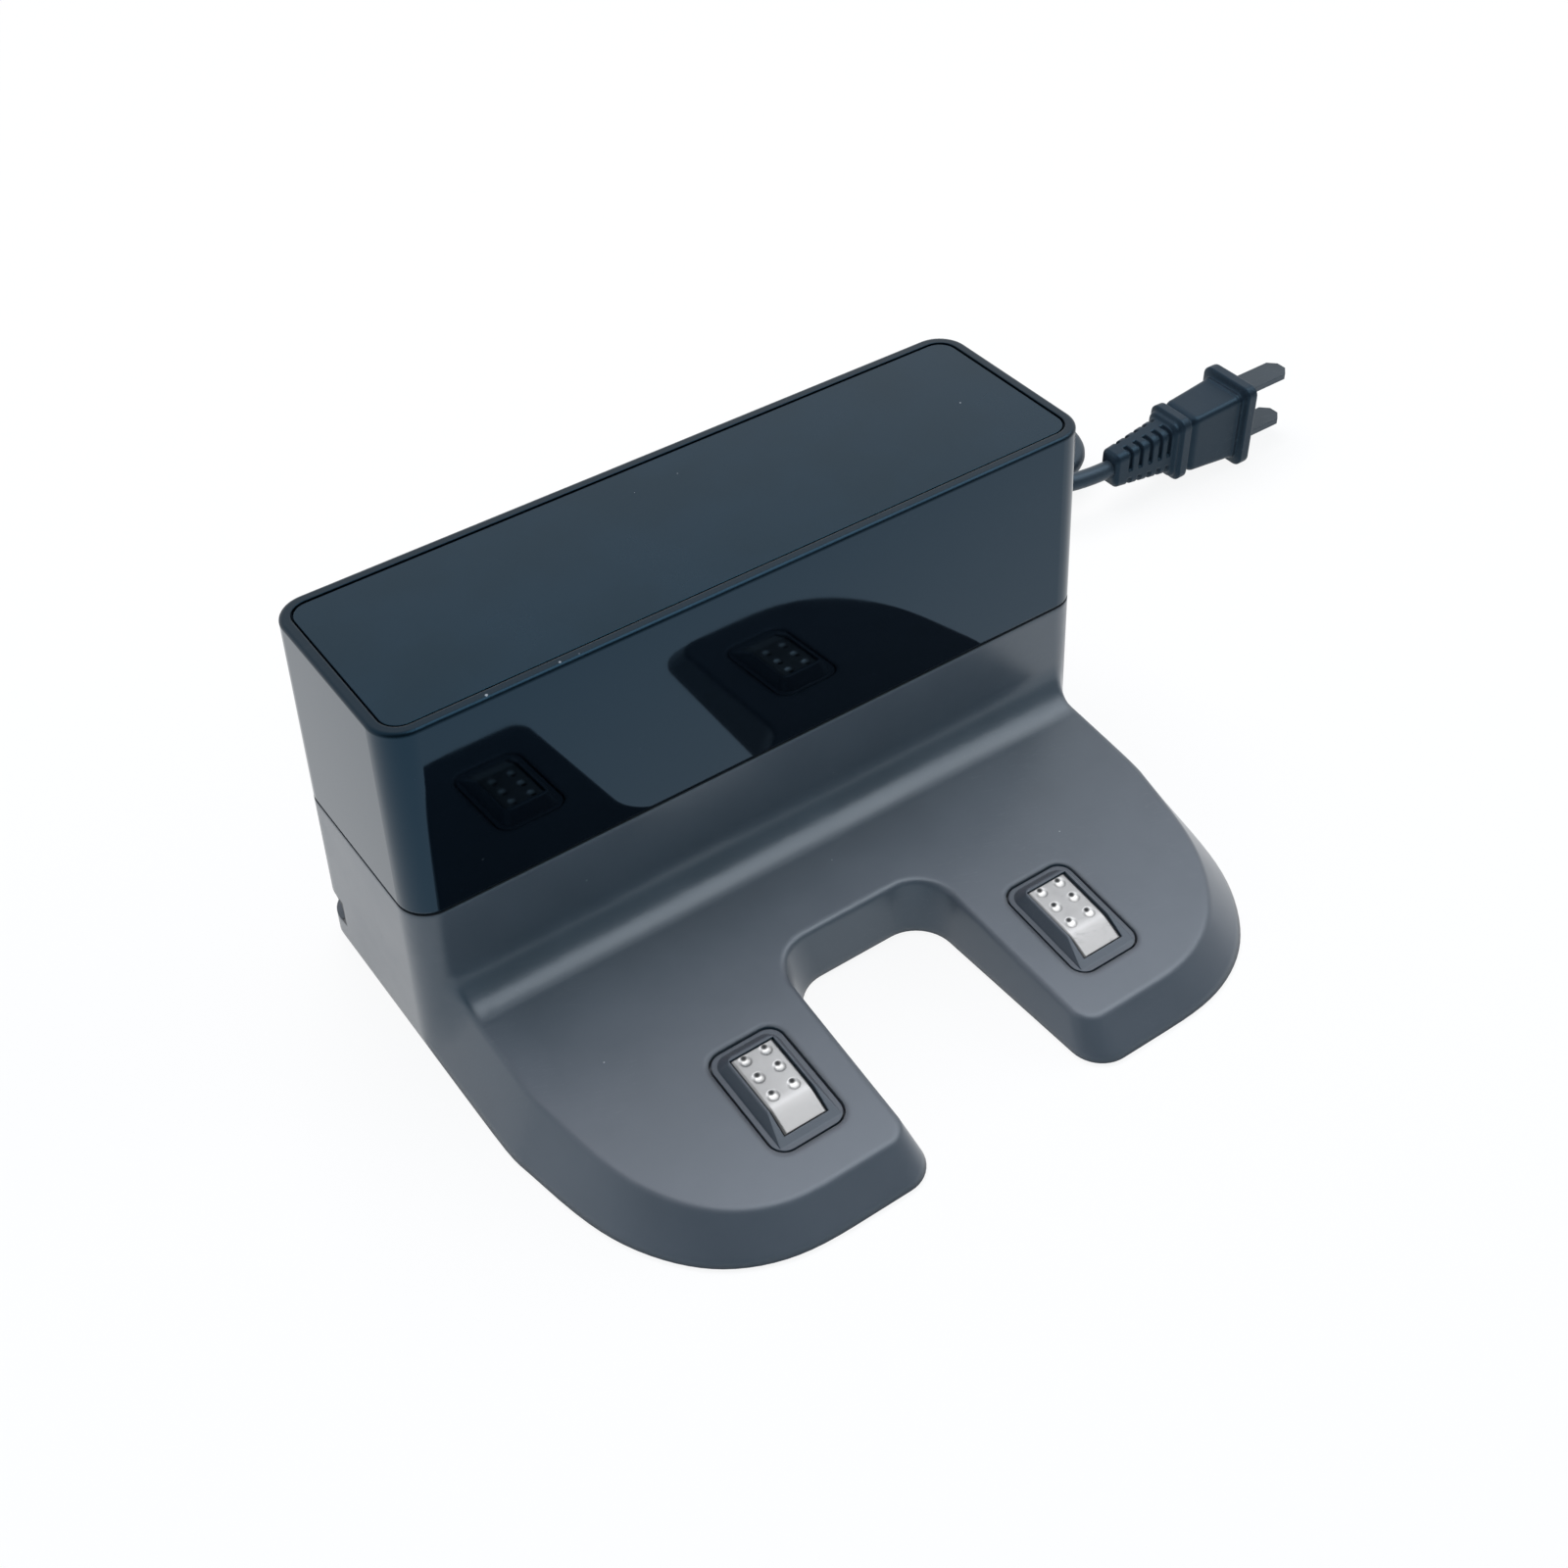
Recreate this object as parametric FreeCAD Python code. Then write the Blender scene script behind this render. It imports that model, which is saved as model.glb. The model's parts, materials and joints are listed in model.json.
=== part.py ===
import math
import os

import FreeCAD
import Part

# Charging dock for a robot vacuum cleaner. Millimetres, +Z up, +Y to the back,
# origin on the floor under the middle of the footprint.

# Body and footprint
width = 150.0
depth = 116.4
height = 75.0
body_depth = 44.4
corner_radius = 6.0
side_draft = 0.0362
front_draft = 0.0103
back_draft = 0.0157
wall = 2.4
floor_gap = 0.6
least_radius = 1.0

# Working allowances: cutters run past what they cut, joined shapes overlap, edges are told apart
overrun = 1.0
overlap = 0.1
touch = 0.05

# Ramp in front of the body
ramp_front_height = 6.3
ramp_angle = 5.67
ramp_skin = 1.8
skirt_inset = 6.2
ridge_round = 1.0
blend_radius = 8.0
flank_reach = 41.0
flank_setback = 7.8
flank_power = 2.7
flank_steps = 6
notch_depth = 47.4
notch_half_front = 17.5
notch_half_back = 15.9
notch_lean = 2.2
notch_radius = 8.0
lobe_radius = 6.5

# Seam between the two shells, and the lid
seam_height = 35.3
seam_gap = 0.5
lip_height = 2.5
lip_inset = 1.3
lip_clearance = 0.1
rim_width = 2.0
rim_round = 0.7
lid_gap = 0.45
lid_thickness = 2.1
lid_drop = 0.15
lid_ledge = 1.8
ledge_thickness = 2.2

# Bottom plate, feet and its screws
plate_lift = 0.9
plate_thickness = 1.6
plate_inset = 3.8
plate_clearance = 0.15
foot_radius = 6.0
foot_front_inset = 14.2
foot_front_side = 29.0
foot_rear_inset = 10.7
foot_rear_side = 15.0
boss_radius = 3.0
pilot_radius = 1.05
screw_radius = 1.25
screw_head_radius = 2.4
screw_head_height = 1.15
screw_length = 6.4
screw_hole_clearance = 0.2
screw_head_clearance = 0.1
recess_length = 2.7
recess_width = 0.7
recess_depth = 0.7
pilot_room = 0.5
ramp_screw_side = 18.0
ramp_screw_reach = 35.8
rear_screw_side = 11.0
rear_screw_inset = 22.2
middle_screw_reach = 10.8
rib_thickness = 2.0
rib_height = 12.0

# Charging contacts
contact_x = 33.2
contact_inset = 25.7
hole_width = 15.5
hole_length = 23.3
hole_radius = 3.4
carrier_gap = 0.45
carrier_drop = 0.15
carrier_lip = 1.3
carrier_lip_thickness = 1.0
carrier_lip_gap = 0.1
pad_height = 2.35
pad_half_foot = 6.3
pad_half_top = 5.05
pad_rear_foot = 10.4
pad_rear_top = 8.45
pad_break = -4.25
pad_front_foot = -10.2
pad_run_out = -carrier_drop
pad_root = 1.5
pad_foot_radius = 2.6
pad_top_radius = 1.4
pad_edge_round = 0.4
strip_width = 9.0
strip_rear = 7.65
strip_front = -8.7
strip_thickness = 0.6
strip_recess = 0.25
strip_clearance = 0.1
strip_ramp_end = 0.45
dimple_radius = 1.05
dimple_depth = 0.48
dimple_half_pitch = 2.15
dimple_rows = (6.35, 2.3, -1.95)
spring_places = (4.9, -1.5)
spring_radius = 1.75
spring_wire = 0.25
spring_turns = 4.0
spring_room = 0.3
spring_slack = 0.25
terminal_width = 5.0
terminal_thickness = 0.4
terminal_front_reach = 7.5
terminal_back_reach = 20.5
lead_radius = 0.8
lead_lap = 4.0
lead_run = 12.0
lead_lift = 0.5
lead_rise = 3.0
lead_reach = 5.0
lead_foot_share = 0.2
lead_climb_share = 0.65

# Cord channel across the back, with the gland
channel_height = 6.4
channel_depth = 9.0
channel_z = 8.1
channel_wall = 2.0
gland_inset = 41.0
gland_neck_radius = 3.0
gland_flange_radius = 4.6
gland_flange_length = 2.5
gland_nose = 2.3
gland_clearance = 0.05

# Circuit boards
board_thickness = 1.6
board_z = 15.0
board_gap = 14.0
board_length = 72.0
board_depth = 22.5
board_standoff = 10.2
post_radius = 3.0
post_side = 5.0
post_inset = 3.5
board_hole_radius = 1.55
board_screw_head_radius = 2.3
board_screw_head_height = 1.6
board_screw_length = 6.0
transformer_size = (22.0, 17.0, 8.0)
transformer_core = (14.0, 19.0, 17.0)
transformer_lift = 4.0
transformer_side = 24.0
transformer_reach = 11.0
capacitor_radius = 6.2
capacitor_height = 15.0
capacitor_side = 24.0
capacitor_reach = 14.0
input_size = (7.0, 9.0, 8.0)
output_size = (16.0, 6.0, 7.0)
output_side = 27.0
core_offset = 1.2
core_run = 5.0
core_drop = 4.0
core_lean = 1.0
core_lead = 6.0
emitter_board_half = 40.0
emitter_board_z = 43.0
emitter_board_height = 22.0
emitter_standoff = 11.7
emitter_radius = 2.5
emitter_length = 5.6
emitter_z = 56.0
emitter_places = (-26.0, 0.0, 26.0)
rail_width = 5.0
rail_depth = 3.0
rail_slot = 2.2
rail_slack = 0.1

# Mains cord, its hank and the plug
cord_radius = 2.1
cord_pitch = 4.25
hank_turns_across = 2
hank_layers = 3
hank_inner_radius = 8.7
hank_run = 77.0
hank_side = 51.0
hank_gap = 31.9
hank_floor = 0.8
tie_width = 10.0
tie_reach = 54.0
bend_share = 0.45
exit_run = 12.0
join_side = 9.0
join_run = 15.0
join_clear = 1.0
join_rise = 0.8
leave_run = 13.0
leave_reach = 36.0
leave_clear = 1.6
plug_run = 11.5
plug_side = 58.0
plug_gap = 10.2
relief_length = 17.0
relief_start = (5.9, 8.9)
relief_end = (8.6, 13.0)
relief_slots = 5
relief_slot_width = 1.3
relief_slot_depth = 1.1
relief_slot_start = 0.9
relief_slot_end = 0.6
side_slot_share = 0.62
edge_slot_share = 0.42
collar_length = 3.4
collar_size = (11.6, 16.6)
groove_length = 1.0
groove_size = (9.4, 13.4)
nose_length = 1.2
grip_length = 12.2
grip_start = (10.8, 15.0)
grip_end = (12.0, 17.0)
shoulder_length = 1.4
shoulder_size = (12.4, 17.6)
flange_length = 2.8
flange_size = (15.6, 21.6)
plug_round = 2.6
blade_length = 16.0
blade_width = 6.3
blade_thickness = 1.5
blade_spacing = 12.7
blade_taper = 1.9

front_y = -depth / 2
back_y = depth / 2
body_front_y = back_y - body_depth
ramp_slope = math.tan(math.radians(ramp_angle))
flank_x = width / 2 - flank_reach
flank_length = depth - body_depth - flank_setback
notch_back_y = front_y + notch_depth
plate_top = plate_lift + plate_thickness
lid_seat = height - lid_thickness - lid_drop
channel_floor_y = back_y - channel_depth
contact_y = front_y + contact_inset
gland_x = width / 2 - gland_inset
board_right = gland_x - board_gap
board_left = board_right - board_length
board_front = body_front_y + board_standoff
board_back = board_front + board_depth
board_top = board_z + board_thickness
input_y = board_front + board_depth / 2
output_x = board_right - output_side
emitter_board_y = body_front_y + emitter_standoff
hank_right = width / 2 + hank_side
hank_left = hank_right - hank_run
hank_y = back_y + hank_gap
hank_outer_radius = hank_inner_radius + cord_pitch * (hank_turns_across - 1)
hank_reach = hank_outer_radius + cord_radius
hank_top = hank_floor + 2 * cord_radius + cord_pitch * (hank_layers - 1)
plug_x = width / 2 + plug_side
plug_y = back_y + plug_gap
plug_z = flange_size[1] / 2
across_x = FreeCAD.Vector(1, 0, 0)
along_y = FreeCAD.Vector(0, 1, 0)


def vec(x, y, z=0.0):
    return FreeCAD.Vector(x, y, z)


def mix(start, end, share):
    return start + (end - start) * share


def foot_places():
    return [
        ("front", width / 2 - foot_front_side, front_y + foot_front_inset),
        ("rear", width / 2 - foot_rear_side, back_y - foot_rear_inset),
    ]


def screw_places():
    ramp_x = width / 2 - ramp_screw_side
    ramp_y = body_front_y - ramp_screw_reach
    rear_x = width / 2 - rear_screw_side
    rear_y = back_y - rear_screw_inset
    middle_y = body_front_y - middle_screw_reach
    return [(ramp_x, ramp_y), (-ramp_x, ramp_y), (rear_x, rear_y), (-rear_x, rear_y), (0.0, middle_y)]


def post_places():
    xs = (board_left + post_side, board_right - post_side)
    ys = (board_front + post_inset, board_back - post_inset)
    return [(x, y) for x in xs for y in ys]


def ramp_level(y):
    return ramp_front_height + (y - front_y) * ramp_slope


def mirrored(point):
    return vec(-point.x, point.y, point.z)


def corner(before, here, after, radius):
    # start, middle and end of the round that cuts a corner
    back = (before - here).normalize()
    ahead = (after - here).normalize()
    half = back.getAngle(ahead) / 2
    reach = radius / math.tan(half)
    middle = (back + ahead).normalize() * (radius / math.sin(half) - radius)
    return here + back * reach, here + middle, here + ahead * reach


def lifted(point, level):
    return vec(point.x, point.y, level(point.y))


def line_edge(start, end, level):
    return Part.LineSegment(lifted(start, level), lifted(end, level)).toShape()


def arc_edge(bend, level):
    start, middle, end = [lifted(point, level) for point in bend]
    return Part.Arc(start, middle, end).toShape()


def rounded_outline(corners, radius, level):
    bends = []
    for number, here in enumerate(corners):
        after = corners[(number + 1) % len(corners)]
        bends.append(corner(corners[number - 1], here, after, radius))
    edges = []
    for number, bend in enumerate(bends):
        edges.append(arc_edge(bend, level))
        edges.append(line_edge(bend[2], bends[(number + 1) % len(bends)][0], level))
    return Part.Wire(edges)


def rectangle(left, right, front, back):
    return [vec(left, front), vec(right, front), vec(right, back), vec(left, back)]


def rounded_box(left, right, front, back, radius, low, high):
    outline = rounded_outline(rectangle(left, right, front, back), radius, lambda y: low)
    return Part.Face(outline).extrude(vec(0, 0, high - low))


def box(left, right, front, back, low, high):
    return Part.makeBox(right - left, back - front, high - low, vec(left, front, low))


def upright(radius, low, high, x, y):
    return Part.makeCylinder(radius, high - low, vec(x, y, low))


def body_section(z, inset):
    # the body's plan at one height: its walls lean in a little towards the top
    rise = z - floor_gap
    half = width / 2 - side_draft * rise - inset
    front = body_front_y + front_draft * rise + inset
    back = back_y - back_draft * rise - inset
    radius = max(corner_radius - inset, least_radius)
    return rounded_outline(rectangle(-half, half, front, back), radius, lambda y: z)


def body_block(low, high, inset):
    return Part.makeLoft([body_section(low, inset), body_section(high, inset)], True, True)


def flank_curve(inset, level):
    # from the straight front edge round to the straight side
    reach_x = width / 2 - inset - flank_x
    reach_y = flank_length - inset
    centre_y = front_y + flank_length
    points = []
    for step in range(flank_steps + 1):
        angle = math.pi / 2 * (1 - step / flank_steps)
        x = flank_x + reach_x * max(math.cos(angle), 0) ** (2 / flank_power)
        y = centre_y - reach_y * max(math.sin(angle), 0) ** (2 / flank_power)
        points.append(lifted(vec(x, y), level))
    slope = level(1.0) - level(0.0)
    curve = Part.BSplineCurve()
    curve.interpolate(Points=points, InitialTangent=vec(1, 0, 0), FinalTangent=vec(0, 1, slope))
    return curve.toShape()


def footprint(inset, notch_inset, level):
    # outline of the whole dock seen from above, with the notch between the two lobes
    side = width / 2 - inset
    front = front_y + inset
    back = back_y - inset
    notch_back = notch_back_y + notch_inset
    spread = (notch_half_front - notch_half_back) / notch_depth

    def notch_side(y):
        return notch_half_back + notch_inset + spread * (notch_back_y - y)

    inner = vec(notch_side(notch_back), notch_back)
    lobe = vec(notch_side(front), front)
    front_end = vec(flank_x, front)
    side_end = vec(side, front_y + flank_length)
    rear = vec(side, back)
    inner_bend = corner(mirrored(inner), inner, lobe, notch_radius)
    lobe_bend = corner(inner, lobe, front_end, max(lobe_radius - notch_inset, least_radius))
    rear_bend = corner(side_end, rear, mirrored(rear), max(corner_radius - inset, least_radius))
    right = [
        arc_edge(inner_bend, level),
        line_edge(inner_bend[2], lobe_bend[0], level),
        arc_edge(lobe_bend, level),
        line_edge(lobe_bend[2], front_end, level),
        flank_curve(inset, level),
        line_edge(side_end, rear_bend[0], level),
        arc_edge(rear_bend, level),
    ]
    left = [edge.mirror(vec(0, 0), across_x) for edge in reversed(right)]
    notch_edge = line_edge(mirrored(inner_bend[0]), inner_bend[0], level)
    rear_edge = line_edge(rear_bend[2], mirrored(rear_bend[2]), level)
    return Part.Wire(Part.__sortEdges__([notch_edge] + right + [rear_edge] + left))


def ramp_slab(low, high):
    # layer between two heights measured square to the ramp
    reach = 2 * width
    slab = box(-reach / 2, reach / 2, -reach / 2, reach / 2, low, high)
    tilt = FreeCAD.Rotation(across_x, ramp_angle)
    slab.Placement = FreeCAD.Placement(vec(0, 0, ramp_level(0)), tilt)
    return slab


def ramp_block():
    # the low ramp with its sloping skirt and softened ridge
    foot = footprint(0, 0, lambda y: floor_gap)
    ridge = footprint(skirt_inset, notch_lean, ramp_level)
    ramp = Part.makeLoft([foot, ridge], True, True)
    rear = back_y - 2 * corner_radius
    crest = []
    for edge in ramp.Edges:
        middle = edge.CenterOfMass
        if abs(middle.z - ramp_level(middle.y)) < touch and middle.y < rear:
            crest.append(edge)
    return ramp.makeFillet(ridge_round, crest)


def blend_edges(outer):
    # lines where the ramp and its skirt meet the body's front wall and its two front corners
    edges = []
    for edge in outer.Edges:
        middle = edge.CenterOfMass
        near = -overrun < middle.y - body_front_y < corner_radius
        if near and floor_gap + touch < middle.z < ramp_level(body_front_y) + overrun:
            edges.append(edge)
    return edges


def same_edges(shape, lines):
    places = [line.CenterOfMass for line in lines]
    return [edge for edge in shape.Edges
            if min((edge.CenterOfMass - place).Length for place in places) < touch]


def ramp_hollow():
    outline = footprint(plate_inset, wall, lambda y: -overrun)
    seat = Part.Face(outline).extrude(vec(0, 0, plate_top + overrun))
    foot = footprint(plate_inset, wall, lambda y: plate_top - overlap)
    ceiling_inset = skirt_inset + ramp_skin
    ceiling = footprint(ceiling_inset, notch_lean + wall, lambda y: ramp_level(y) - ramp_skin)
    return seat.fuse(Part.makeLoft([foot, ceiling], True, True))


def channel_casing():
    block = box(-width, width, channel_floor_y - channel_wall, depth,
                channel_z - channel_height / 2 - channel_wall,
                channel_z + channel_height / 2 + channel_wall)
    return block.common(body_block(floor_gap, seam_height - seam_gap, wall / 2))


def channel_groove():
    radius = channel_height / 2
    bottom = channel_floor_y + radius
    groove = Part.makeCylinder(radius, 2 * width, vec(-width, bottom, channel_z), across_x)
    mouth = box(-width, width, bottom, depth, channel_z - radius, channel_z + radius)
    return groove.fuse(mouth)


def screw_boss(x, y):
    top = min(plate_top + rib_height, ramp_level(y) - ramp_skin / 2)
    boss = upright(boss_radius, plate_top, top, x, y)
    if y > body_front_y:
        outer = width / 2 - wall / 2 - side_draft * top
        ends = sorted((x, math.copysign(outer, x)))
        half = rib_thickness / 2
        boss = boss.fuse(box(ends[0], ends[1], y - half, y + half, plate_top, top))
    return boss


def contact_prism(half_width, half_length, radius, low, high):
    front = contact_y - half_length
    back = contact_y + half_length
    return rounded_box(-half_width, half_width, front, back, radius, low, high)


def base_housing():
    seam_low = seam_height - seam_gap / 2
    outer = body_block(floor_gap, seam_low, 0).fuse(ramp_block()).removeSplitter()
    shell = outer.cut([ramp_hollow(), body_block(plate_top - overlap, seam_height + wall, wall)])
    lip = body_block(seam_low - wall, seam_height + lip_height, lip_inset)
    lip = lip.cut(body_block(seam_low - 2 * wall, seam_height + 2 * lip_height, wall))
    shell = shell.fuse([lip, channel_casing()] + [screw_boss(x, y) for x, y in screw_places()])
    cuts = [channel_groove()]
    pilot_end = plate_lift + screw_length + pilot_room
    cuts += [upright(pilot_radius, 0, pilot_end, x, y) for x, y in screw_places()]
    hole = contact_prism(hole_width / 2, hole_length / 2, hole_radius, plate_top, height / 3)
    for side in (-1, 1):
        cuts.append(hole.translated(vec(side * contact_x, 0)))
    gland_hole = Part.makeCylinder(gland_neck_radius + gland_clearance, 4 * channel_wall,
                                   vec(gland_x, channel_floor_y - 3 * channel_wall, channel_z), along_y)
    shell = shell.cut(cuts + [gland_hole]).removeSplitter()
    return shell.makeFillet(blend_radius, same_edges(shell, blend_edges(outer)))


def emitter_rail(side):
    front = body_front_y + wall / 2
    slot_front = emitter_board_y - rail_slack
    slot_back = emitter_board_y + board_thickness + rail_slack
    low = emitter_board_z - rail_depth
    high = emitter_board_z + emitter_board_height
    inner = emitter_board_half - rail_slot
    rail = box(inner, inner + rail_width, front, slot_back + rail_depth, low, high)
    slot = box(inner - overrun, emitter_board_half + rail_slack, slot_front, slot_back,
               emitter_board_z, high + overrun)
    rail = rail.cut(slot)
    return rail if side > 0 else rail.mirror(vec(0, 0), across_x)


def upper_housing():
    low = seam_height + seam_gap / 2
    shell = body_block(low, height, 0)
    rim = [edge for edge in shell.Edges if edge.BoundBox.ZMin > height - touch]
    shell = shell.makeFillet(rim_round, rim)
    ledge_low = lid_seat - ledge_thickness
    shell = shell.cut([
        body_block(low - overrun, ledge_low, wall),
        body_block(ledge_low - overrun, lid_seat, rim_width + lid_ledge),
        body_block(lid_seat, height + overrun, rim_width),
        body_block(low - overrun, seam_height + lip_height, lip_inset - lip_clearance),
    ])
    return shell.fuse([emitter_rail(-1), emitter_rail(1)]).removeSplitter()


def top_plate():
    return body_block(lid_seat, height - lid_drop, rim_width + lid_gap)


def countersunk_head(x, y, grow):
    top = screw_radius + grow
    return Part.makeCone(screw_head_radius + grow, top, screw_head_height, vec(x, y, plate_lift))


def bottom_plate():
    inset = plate_inset + plate_clearance
    outline = footprint(inset, wall + plate_clearance, lambda y: plate_lift)
    plate = Part.Face(outline).extrude(vec(0, 0, plate_thickness))
    plate = plate.fuse([upright(post_radius, plate_top, board_z, x, y) for x, y in post_places()])
    cuts = []
    for x, y in screw_places():
        cuts.append(upright(screw_radius + screw_hole_clearance, 0, plate_top + overrun, x, y))
        cuts.append(countersunk_head(x, y, screw_head_clearance))
    for x, y in post_places():
        cuts.append(upright(pilot_radius, board_z - board_screw_length, board_z + overrun, x, y))
    return plate.cut(cuts).removeSplitter()


def cross_recess(x, y):
    long = recess_length / 2
    slim = recess_width / 2
    high = plate_lift + recess_depth
    return [
        box(x - long, x + long, y - slim, y + slim, 0, high),
        box(x - slim, x + slim, y - long, y + long, 0, high),
    ]


def bottom_screws():
    screws = []
    for x, y in screw_places():
        shank = upright(screw_radius, plate_lift + pilot_room, plate_lift + screw_length, x, y)
        screw = countersunk_head(x, y, 0.0).fuse(shank).removeSplitter()
        screws.append(screw.cut(cross_recess(x, y)))
    return Part.makeCompound(screws)


def foot(x, y):
    return upright(foot_radius, 0, plate_lift, x, y)


def on_ramp(shape, side):
    # set a shape drawn about the contact's middle down on the ramp
    shape.Placement = FreeCAD.Placement(vec(side * contact_x, contact_y, ramp_level(contact_y)),
                                        FreeCAD.Rotation(across_x, ramp_angle))
    return shape


def side_profile(points, half):
    face = Part.Face(Part.makePolygon([vec(-half, y, z) for y, z in points + points[:1]]))
    return face.extrude(vec(2 * half, 0, 0))


def strip_points(grow):
    # side view of the stamped strip: flat on top, then a ramp down to the front
    top = pad_height - strip_recess
    under = top - strip_thickness - grow
    rear = strip_rear + grow
    front = strip_front - grow
    end = strip_ramp_end - strip_thickness - grow
    lid = pad_height + overrun if grow else top
    lead = strip_ramp_end + overrun if grow else strip_ramp_end
    upper = [(rear, under), (rear, lid), (pad_break, lid)]
    return upper + [(front, lead), (front, end), (pad_break, under)]


def contact_plate(side):
    strip = side_profile(strip_points(0), strip_width / 2)
    ball = (dimple_radius ** 2 + dimple_depth ** 2) / (2 * dimple_depth)
    top = pad_height - strip_recess
    dimples = []
    for y in dimple_rows:
        for x in (-dimple_half_pitch, dimple_half_pitch):
            dimples.append(Part.makeSphere(ball, vec(x, y, top - dimple_depth + ball)))
    return on_ramp(strip.cut(dimples), side)


def pad_outline(half, rear, radius, z):
    front = 2 * pad_front_foot
    return rounded_outline(rectangle(-half, half, front, rear), radius, lambda y: z)


def carrier_pad():
    # raised bezel: round-cornered and higher at the back, running out flush at the front
    foot = pad_outline(pad_half_foot, pad_rear_foot, pad_foot_radius, 0)
    top = pad_outline(pad_half_top, pad_rear_top, pad_top_radius, pad_height)
    root = Part.Face(foot).extrude(vec(0, 0, -pad_root))
    far = 2 * pad_rear_foot
    wedge = [(far, -pad_root), (far, pad_height), (pad_break, pad_height)]
    wedge += [(pad_front_foot, pad_run_out), (pad_front_foot, -pad_root)]
    pad = Part.makeLoft([foot, top], True, True).fuse(root)
    pad = pad.common(side_profile(wedge, 2 * pad_half_foot)).removeSplitter()
    crest = [edge for edge in pad.Edges if edge.CenterOfMass.z > pad_height - touch and edge.Length < far
             and edge.CenterOfMass.y > pad_break + touch]
    return pad.makeFillet(pad_edge_round, crest)


def contact_carrier(side):
    half_width = hole_width / 2 - carrier_gap
    half_length = hole_length / 2 - carrier_gap
    radius = hole_radius - carrier_gap
    stop = -ramp_skin - carrier_lip_gap
    low = stop - carrier_lip_thickness
    block = contact_prism(half_width, half_length, radius, 0, height / 2)
    block = block.translated(vec(side * contact_x, 0)).common(ramp_slab(low, -carrier_drop))
    rim = contact_prism(half_width + carrier_lip, half_length + carrier_lip, radius, 0, height / 2)
    rim = rim.translated(vec(side * contact_x, 0)).common(ramp_slab(low, stop))
    carrier = block.fuse([rim, on_ramp(carrier_pad(), side)])
    recess = side_profile(strip_points(strip_clearance), strip_width / 2 + strip_clearance)
    cuts = [on_ramp(recess, side)]
    bore = spring_radius + spring_wire + spring_room
    for y in spring_places:
        cuts.append(upright(bore, 0, height / 2, side * contact_x, contact_y + y))
    return carrier.cut(cuts).removeSplitter()


def contact_spring(side, offset):
    y = contact_y + offset
    low = plate_top + terminal_thickness
    under = pad_height - strip_recess - strip_thickness
    high = ramp_level(y - spring_radius) + under - spring_slack
    pitch = (high - low - 2 * spring_wire) / spring_turns
    path = Part.Wire(Part.makeLongHelix(pitch, pitch * spring_turns, spring_radius))
    ring = Part.Wire(Part.makeCircle(spring_wire, vec(spring_radius, 0), along_y))
    coil = path.makePipeShell([ring], True, True)
    coil.translate(vec(side * contact_x, y, low + spring_wire))
    return coil


def contact_terminal(side):
    x = side * contact_x
    half = terminal_width / 2
    return box(x - half, x + half, contact_y - terminal_front_reach, contact_y + terminal_back_reach,
               plate_top, plate_top + terminal_thickness)


def tube(points, radius, name):
    # straight runs joined by tangent arcs
    edges = []
    start = points[0]
    for before, here, after in zip(points, points[1:], points[2:]):
        turn = (here - before).getAngle(after - here)
        shorter = min((here - before).Length, (after - here).Length)
        bend = bend_share * shorter / math.tan(turn / 2)
        print(name, "bend radius", round(bend, 1))
        arc = corner(before, here, after, bend)
        edges.append(Part.LineSegment(start, arc[0]).toShape())
        edges.append(Part.Arc(*arc).toShape())
        start = arc[2]
    edges.append(Part.LineSegment(start, points[-1]).toShape())
    path = Part.Wire(edges)
    ring = Part.Wire(Part.makeCircle(radius, points[0], points[1] - points[0]))
    solid = path.makePipeShell([ring], True, False)
    print(name, "volume ratio", round(solid.Volume / (math.pi * radius ** 2 * path.Length), 4))
    return solid


def contact_lead(side):
    # from the terminal back under the body's front wall and up to the output socket
    x = side * contact_x
    low = plate_top + terminal_thickness + lead_radius
    terminal_back = contact_y + terminal_back_reach
    socket_z = board_top + output_size[2] / 2
    end = vec(output_x + side * output_size[0] / 4, board_front, socket_z)
    climb_y = board_front - lead_reach
    route = [
        vec(x, terminal_back - lead_lap, low),
        vec(x, terminal_back + lead_run, low + lead_lift),
        vec(mix(x, end.x, lead_foot_share), climb_y - lead_lap, low + lead_rise),
        vec(mix(x, end.x, lead_climb_share), climb_y, socket_z - lead_reach),
        vec(end.x, board_front - lead_lap, socket_z),
        end,
    ]
    return tube(route, lead_radius, "contact lead")


def power_board():
    board = box(board_left, board_right, board_front, board_back, board_z, board_top)
    return board.cut([upright(board_hole_radius, 0, height, x, y) for x, y in post_places()])


def board_screws():
    screws = []
    for x, y in post_places():
        shank = upright(screw_radius, board_top - board_screw_length, board_top + overlap, x, y)
        head = upright(board_screw_head_radius, board_top, board_top + board_screw_head_height, x, y)
        screws.append(shank.fuse(head).removeSplitter())
    return Part.makeCompound(screws)


def standing_box(size, x, y, low):
    half_x = size[0] / 2
    half_y = size[1] / 2
    return box(x - half_x, x + half_x, y - half_y, y + half_y, low, low + size[2])


def transformer():
    x = board_left + transformer_side
    y = board_front + transformer_reach
    winding = standing_box(transformer_size, x, y, board_top + transformer_lift)
    return winding.fuse(standing_box(transformer_core, x, y, board_top)).removeSplitter()


def bulk_capacitor():
    x = board_right - capacitor_side
    y = board_front + capacitor_reach
    return upright(capacitor_radius, board_top, board_top + capacitor_height, x, y)


def input_socket():
    return standing_box(input_size, board_right - input_size[0] / 2, input_y, board_top)


def output_socket():
    return standing_box(output_size, output_x, board_front + output_size[1] / 2, board_top)


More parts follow.
